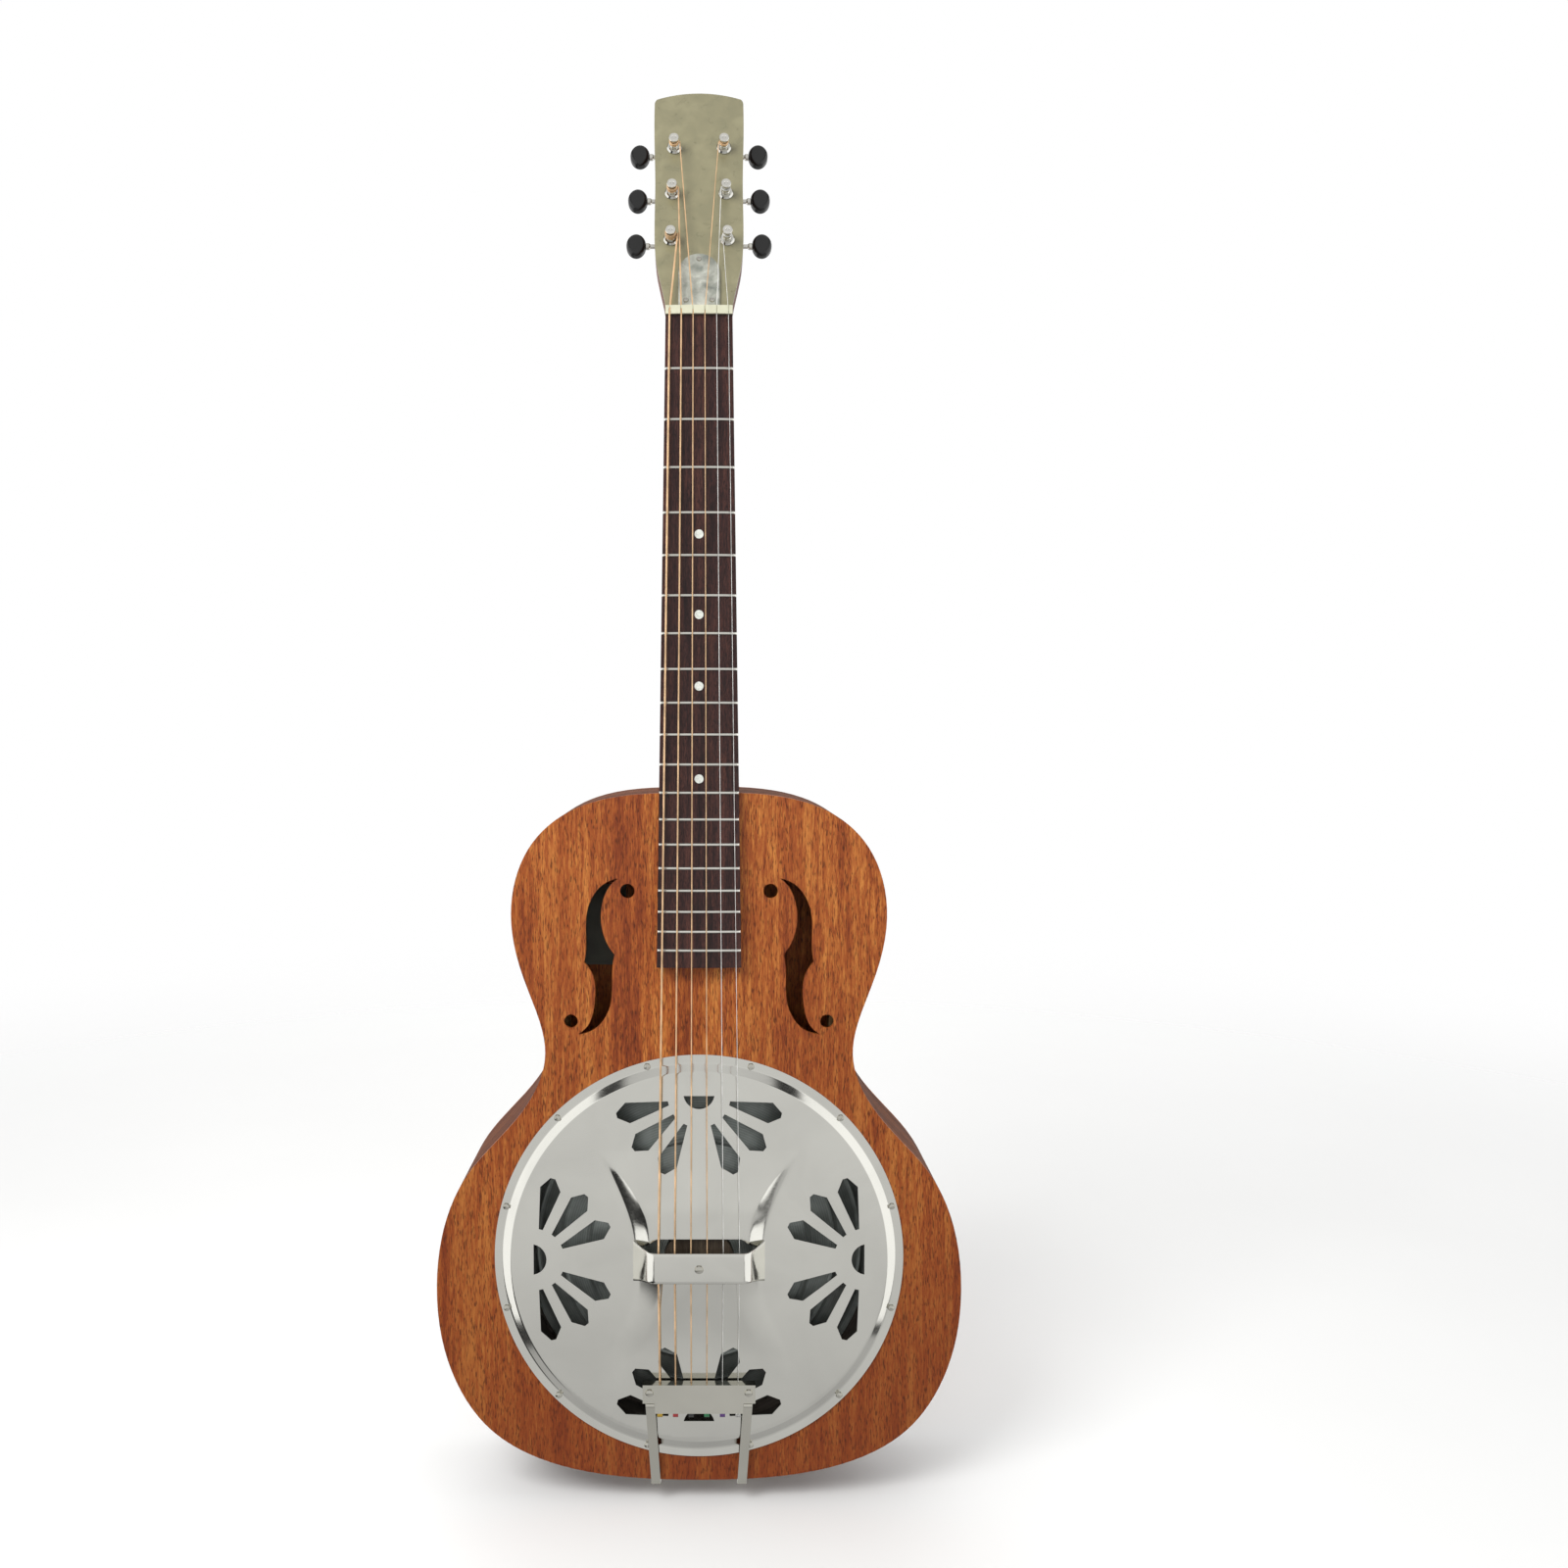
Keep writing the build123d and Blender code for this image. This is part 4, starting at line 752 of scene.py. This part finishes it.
def ball_ends(name, colours):
    """Brass ball ends lacquered in a colour for each string, by their place across the tailpiece."""
    tree = Tree(name)
    across = tree.node("SeparateXYZ", {"Vector": tree.place}).outputs[0]
    place = tree.span(across, -TAIL_SPREAD * 0.6, TAIL_SPREAD * 0.6)
    stops = [(k / len(colours), colour) for k, colour in enumerate(colours)]
    made = tree.ramp(place, *stops)
    made.node.color_ramp.interpolation = "CONSTANT"
    cloud = tree.noise((400.0, 400.0, 400.0), 2.0)
    shade = tree.mix(tree.span(cloud, 0.4, 0.7, 0.0, 0.3), made, (60, 50, 40))
    tree.feed(Base_Color=shade, Roughness=tree.span(cloud, 0.3, 0.7, 0.25, 0.4))
    return tree.set(Metallic=0.35, Coat_Weight=0.5).material


CONE_MIDDLE = (TOP_Z - JOIN) * MM
TAIL_SPREAD = 53.0 * MM
MAHOGANY = ((118, 52, 24), (164, 86, 38), (206, 132, 64))
SIDE_MAHOGANY = ((70, 34, 18), (104, 56, 30), (134, 78, 42))
BALL_COLOURS = ((206, 168, 40), (178, 44, 46), (38, 40, 38), (36, 128, 78), (96, 56, 132), (190, 190, 186))
# One finish for each material slot in the record
MATERIALS = {
    # low: painted shade that darkens the top towards the foot of the guitar
    "top_mahogany": wood("top_mahogany", *MAHOGANY, low=0.6),
    "back_mahogany": wood("back_mahogany", *MAHOGANY, bookmatch=True),
    "side_mahogany": wood("side_mahogany", *SIDE_MAHOGANY, "round", rough=0.65, sheen=0.1),
    "neck_mahogany": wood("neck_mahogany", (78, 37, 20), (114, 58, 30), (144, 80, 42)),
    "inner_wood": wood("inner_wood", (150, 112, 74), (178, 140, 96), (200, 164, 118), rough=0.7, pores=0.3),
    # Painted shade: the soundwell is dark grey-brown to stand in for the shade inside the resonator, so the cone
    # seen through the petals stays dark
    "well_plywood": wood("well_plywood", (44, 40, 36), (60, 55, 50), (78, 72, 66), "round", rough=0.7),
    # Painted shade: the biscuit and saddle are dark grey-brown to stand in for the shade they sit in under the
    # hand rest
    "maple": wood("maple", (44, 36, 28), (60, 52, 44), (80, 70, 58), rough=0.5, pores=0.2),
    "rosewood": wood("rosewood", (28, 17, 17), (54, 33, 31), (86, 52, 44), fine=1.8, rough=0.44),
    "label_paper": plastic("label_paper", (112, 112, 102), 0.8),
    # Partly painted shade: the cone's base colour is darker than bare aluminium to stand in for the shade under
    # the plate; its rings are real tool marks
    "spun_aluminium": turned_metal("spun_aluminium", (140, 146, 142), 0.36, CONE_MIDDLE, 0.0016, 0.5),
    "zinc_screw": metal("zinc_screw", (170, 170, 165), 0.35),
    "nickel_plate": metal("nickel_plate", (204, 203, 196), 0.1, (60.0, 900.0, 900.0), 0.02),
    "nickel_sheet": metal("nickel_sheet", (190, 188, 178), 0.16, (900.0, 900.0, 60.0), 0.03),
    "nickel_screw": metal("nickel_screw", (186, 184, 175), 0.12),
    "cream_pearloid": pearl("cream_pearloid", (122, 118, 91), (129, 124, 96), (138, 133, 104), 80.0),
    "white_pearloid": pearl("white_pearloid", (112, 116, 108), (152, 154, 144), (190, 190, 180), 90.0, 0.2),
    "fret_wire": metal("fret_wire", (214, 212, 204), 0.22),
    "pearl_dot": pearl("pearl_dot", (190, 196, 188), (214, 218, 210), (234, 236, 228), 300.0, 0.2),
    "bone": plastic("bone", (206, 205, 180), 0.4),
    "rod_steel": metal("rod_steel", (130, 130, 130), 0.4),
    "bronze_string": wire("bronze_string", (248, 208, 162), 0.4, 0.0006, 0.35),
    "steel_string": wire("steel_string", (250, 250, 246), 0.35, 0.002, 0.6),
    "ball_end": ball_ends("ball_end", BALL_COLOURS),
    "gear_brass": metal("gear_brass", (190, 150, 84), 0.32),
    "post_nickel": metal("post_nickel", (218, 216, 208), 0.16),
    "worm_steel": metal("worm_steel", (206, 204, 196), 0.22),
    "black_button": plastic("black_button", (13, 13, 13), 0.28, 900.0, 0.03),
}


def finish_with(obj, material):
    """Put a material on every slot of an object."""
    if not obj.data.materials:
        obj.data.materials.append(material)
    for index in range(len(obj.material_slots)):
        obj.material_slots[index].material = material


for entry in record["subparts"]:
    finish_with(nodes[entry["node"]], MATERIALS[entry["material_slot"]])
for made in (plate, hand_rest):
    finish_with(made, MATERIALS["nickel_plate"])
finish_with(cone, MATERIALS["spun_aluminium"])
finish_with(frets, MATERIALS["fret_wire"])
for post in posts:
    finish_with(post, MATERIALS["post_nickel"])
for wrap, slot in wraps:
    finish_with(wrap, MATERIALS[slot])


def soften(node, width):
    """Round a piece's sharp edges a little."""
    bevel = nodes[node].modifiers.new("rounded_edges", "BEVEL")
    bevel.width = width * MM
    bevel.segments = 2
    bevel.limit_method = "ANGLE"
    bevel.angle_limit = math.radians(40.0)


soften("tailpiece_plate", 0.35)
soften("nut", 0.3)
soften("truss_rod_cover", 0.3)


# Studio

def area_light(name, place, target, size, power):
    """A soft rectangular light that shiny surfaces don't mirror."""
    data = bpy.data.lights.new(name, "AREA")
    data.shape = "RECTANGLE"
    data.size, data.size_y = size
    data.energy = power
    light = bpy.data.objects.new(name, data)
    light.location = place
    light.rotation_euler = (Vector(target) - Vector(place)).to_track_quat("-Z", "Y").to_euler()
    light.visible_glossy = False
    bpy.context.scene.collection.objects.link(light)


UPPER = (0.0, 0.0, 0.6)
MIDDLE = (0.0, 0.0, 0.45)
LOWER = (0.0, 0.0, 0.25)
area_light("key", (-0.68, -0.95, 1.3), UPPER, (0.7, 0.7), 17.0)
area_light("fill", (0.95, -1.2, 1.25), UPPER, (0.9, 0.9), 1.5)
area_light("front", (0.0, -1.1, 0.5), LOWER, (0.4, 0.4), 2.2)
area_light("top", (0.0, 0.3, 2.6), MIDDLE, (1.6, 1.6), 6.0)
area_light("back", (0.0, 2.2, 1.4), MIDDLE, (2.0, 1.6), 16.0)

# Brightness of the room that shiny surfaces see, by height angle in degrees. Far out to each side
# stands a tall bright panel between dark gaps, and nearer the front a wider gap below it.
PANEL_POWER = 1.5
PANEL = ((42, 1.5), (45, 0.05), (54, 0.05), (58, 0.75), (90, 0.9))
LEFT_EDGE = ((-90, 0.5), (-48.5, 0.6), (-46.8, 0.05), (-41.0, 0.05), (-39.5, 1.5), *PANEL)
RIGHT_EDGE = ((-90, 0.5), (-45, 0.6), (-43.5, 0.05), (-41.5, 0.05), (-40, 1.5), *PANEL)
LEFT_MIDDLE = ((-90, 0.6), (-64, 0.6), (-58, 0.04), (-35.2, 0.04), (-34.0, 1.5), *PANEL)
RIGHT_MIDDLE = ((-90, 0.65), (-39, 0.7), (-37.6, 0.1), (-36.4, 0.1), (-35, 1.5), *PANEL)
# How far out from straight ahead the sides take over from the front, and the edges from the middles
SIDES_FROM = (0.58, 0.66)
EDGES_FROM = (0.955, 0.975)
# Brightness straight ahead and of the room that matt surfaces see, by the height of the direction
FRONT_ROOM = ((-1.0, 0.5), (-0.62, 0.66), (-0.52, 0.74), (-0.38, 0.84), (-0.2, 0.92), (1.0, 0.95))
SOFT_ROOM = ((-1.0, 0.12), (0.0, 0.4), (1.0, 0.75))


class Sky(Tree):
    """The world's node tree, with a direction for its place."""

    def __init__(self, world):
        world.use_nodes = True
        self.nodes = world.node_tree.nodes
        self.links = world.node_tree.links
        self.nodes.clear()
        self.place = self.nodes.new("ShaderNodeTexCoord").outputs["Generated"]

    def levels(self, source, low, high, stops):
        """Grey level for a value between two limits, in units of the panels' power."""
        made = self.node("ValToRGB", {"Fac": self.span(source, low, high)})
        colours = made.color_ramp.elements
        while len(colours) < len(stops):
            colours.new(0.5)
        for element, (position, level) in zip(colours, stops):
            element.position = (position - low) / (high - low)
            element.color = (*[level / PANEL_POWER] * 3, 1.0)
        return made.outputs["Color"]

    def light(self, colour, strength):
        """A glow of one colour all round."""
        return self.node("Background", {"Color": colour, "Strength": strength}).outputs[0]

    def either(self, factor, first, second):
        """One glow or the other by a factor."""
        return self.node("MixShader", {0: factor, 1: first, 2: second}).outputs[0]


def make_world():
    """A white backdrop, a soft room for matt surfaces and a room with two bright panels for shiny ones."""
    world = bpy.data.worlds.new("studio")
    bpy.context.scene.world = world
    sky = Sky(world)
    x, _, z = sky.node("SeparateXYZ", {"Vector": sky.place}).outputs
    reach = sky.length(x, z)
    climb = sky.math("MULTIPLY", sky.math("ARCTAN2", z, sky.math("ABSOLUTE", x)), 180 / math.pi)
    on_right = sky.math("GREATER_THAN", x, 0.0)
    edge = sky.mix(on_right, *(sky.levels(climb, -90, 90, stops) for stops in (LEFT_EDGE, RIGHT_EDGE)))
    middle = sky.mix(on_right, *(sky.levels(climb, -90, 90, stops) for stops in (LEFT_MIDDLE, RIGHT_MIDDLE)))
    sides = sky.mix(sky.span(reach, *EDGES_FROM), middle, edge)
    front = sky.levels(z, -1.0, 1.0, FRONT_ROOM)
    shiny = sky.light(sky.mix(sky.span(reach, *SIDES_FROM), front, sides), PANEL_POWER)
    soft = sky.light(sky.levels(z, -1.0, 1.0, SOFT_ROOM), PANEL_POWER)
    white = sky.light((1.0, 1.0, 1.0, 1.0), 1.0)
    rays = sky.node("LightPath").outputs
    room = sky.either(rays["Is Glossy Ray"], soft, shiny)
    seen = sky.either(rays["Is Camera Ray"], room, white)
    sky.node("OutputWorld", {"Surface": seen})


make_world()

FLOOR_RADIUS = 2.6
FLOOR_SIDES = 96


def make_floor():
    """A plain pale floor that fades into the backdrop."""
    mesh = bpy.data.meshes.new("floor")
    angles = [2 * math.pi * side / FLOOR_SIDES for side in range(FLOOR_SIDES)]
    rim = [(FLOOR_RADIUS * math.cos(angle), FLOOR_RADIUS * math.sin(angle), 0.0) for angle in angles]
    mesh.from_pydata(rim, [], [tuple(range(FLOOR_SIDES))])
    floor = bpy.data.objects.new("floor", mesh)
    bpy.context.scene.collection.objects.link(floor)
    tree = Tree("floor")
    tree.set(Roughness=0.7)
    cloud = tree.noise((3.0, 3.0, 3.0), 2.0)
    tree.feed(Base_Color=tree.mix(cloud, (246, 246, 245), (240, 240, 239)))
    radius = tree.node("VectorMath", {0: tree.place}, operation="LENGTH").outputs["Value"]
    fade = tree.span(radius, FLOOR_RADIUS * 0.1, FLOOR_RADIUS * 0.95, 1.0, 0.0)
    fade.node.interpolation_type = "SMOOTHERSTEP"
    tree.feed(Alpha=fade)
    finish_with(floor, tree.material)
    floor.visible_glossy = False
    floor.visible_diffuse = False


make_floor()

# The photo's camera, as fitted to the frets and to the cover plate's screws
CAMERA_PLACE = (0.0, -0.9071, 0.5349)
CAMERA_PITCH = -2.54
CAMERA_LENS = 29.95
CAMERA_SHIFT = 0.0542
SENSOR_WIDTH = 36.0

camera_data = bpy.data.cameras.new("camera")
camera_data.lens = CAMERA_LENS
camera_data.sensor_width = SENSOR_WIDTH
camera_data.shift_x = CAMERA_SHIFT
camera = bpy.data.objects.new("camera", camera_data)
camera.location = CAMERA_PLACE
camera.rotation_euler = (math.radians(90.0 + CAMERA_PITCH), 0.0, 0.0)
bpy.context.scene.collection.objects.link(camera)
bpy.context.scene.camera = camera
bpy.context.scene.view_settings.view_transform = "Standard"
bpy.context.scene.view_settings.look = "None"
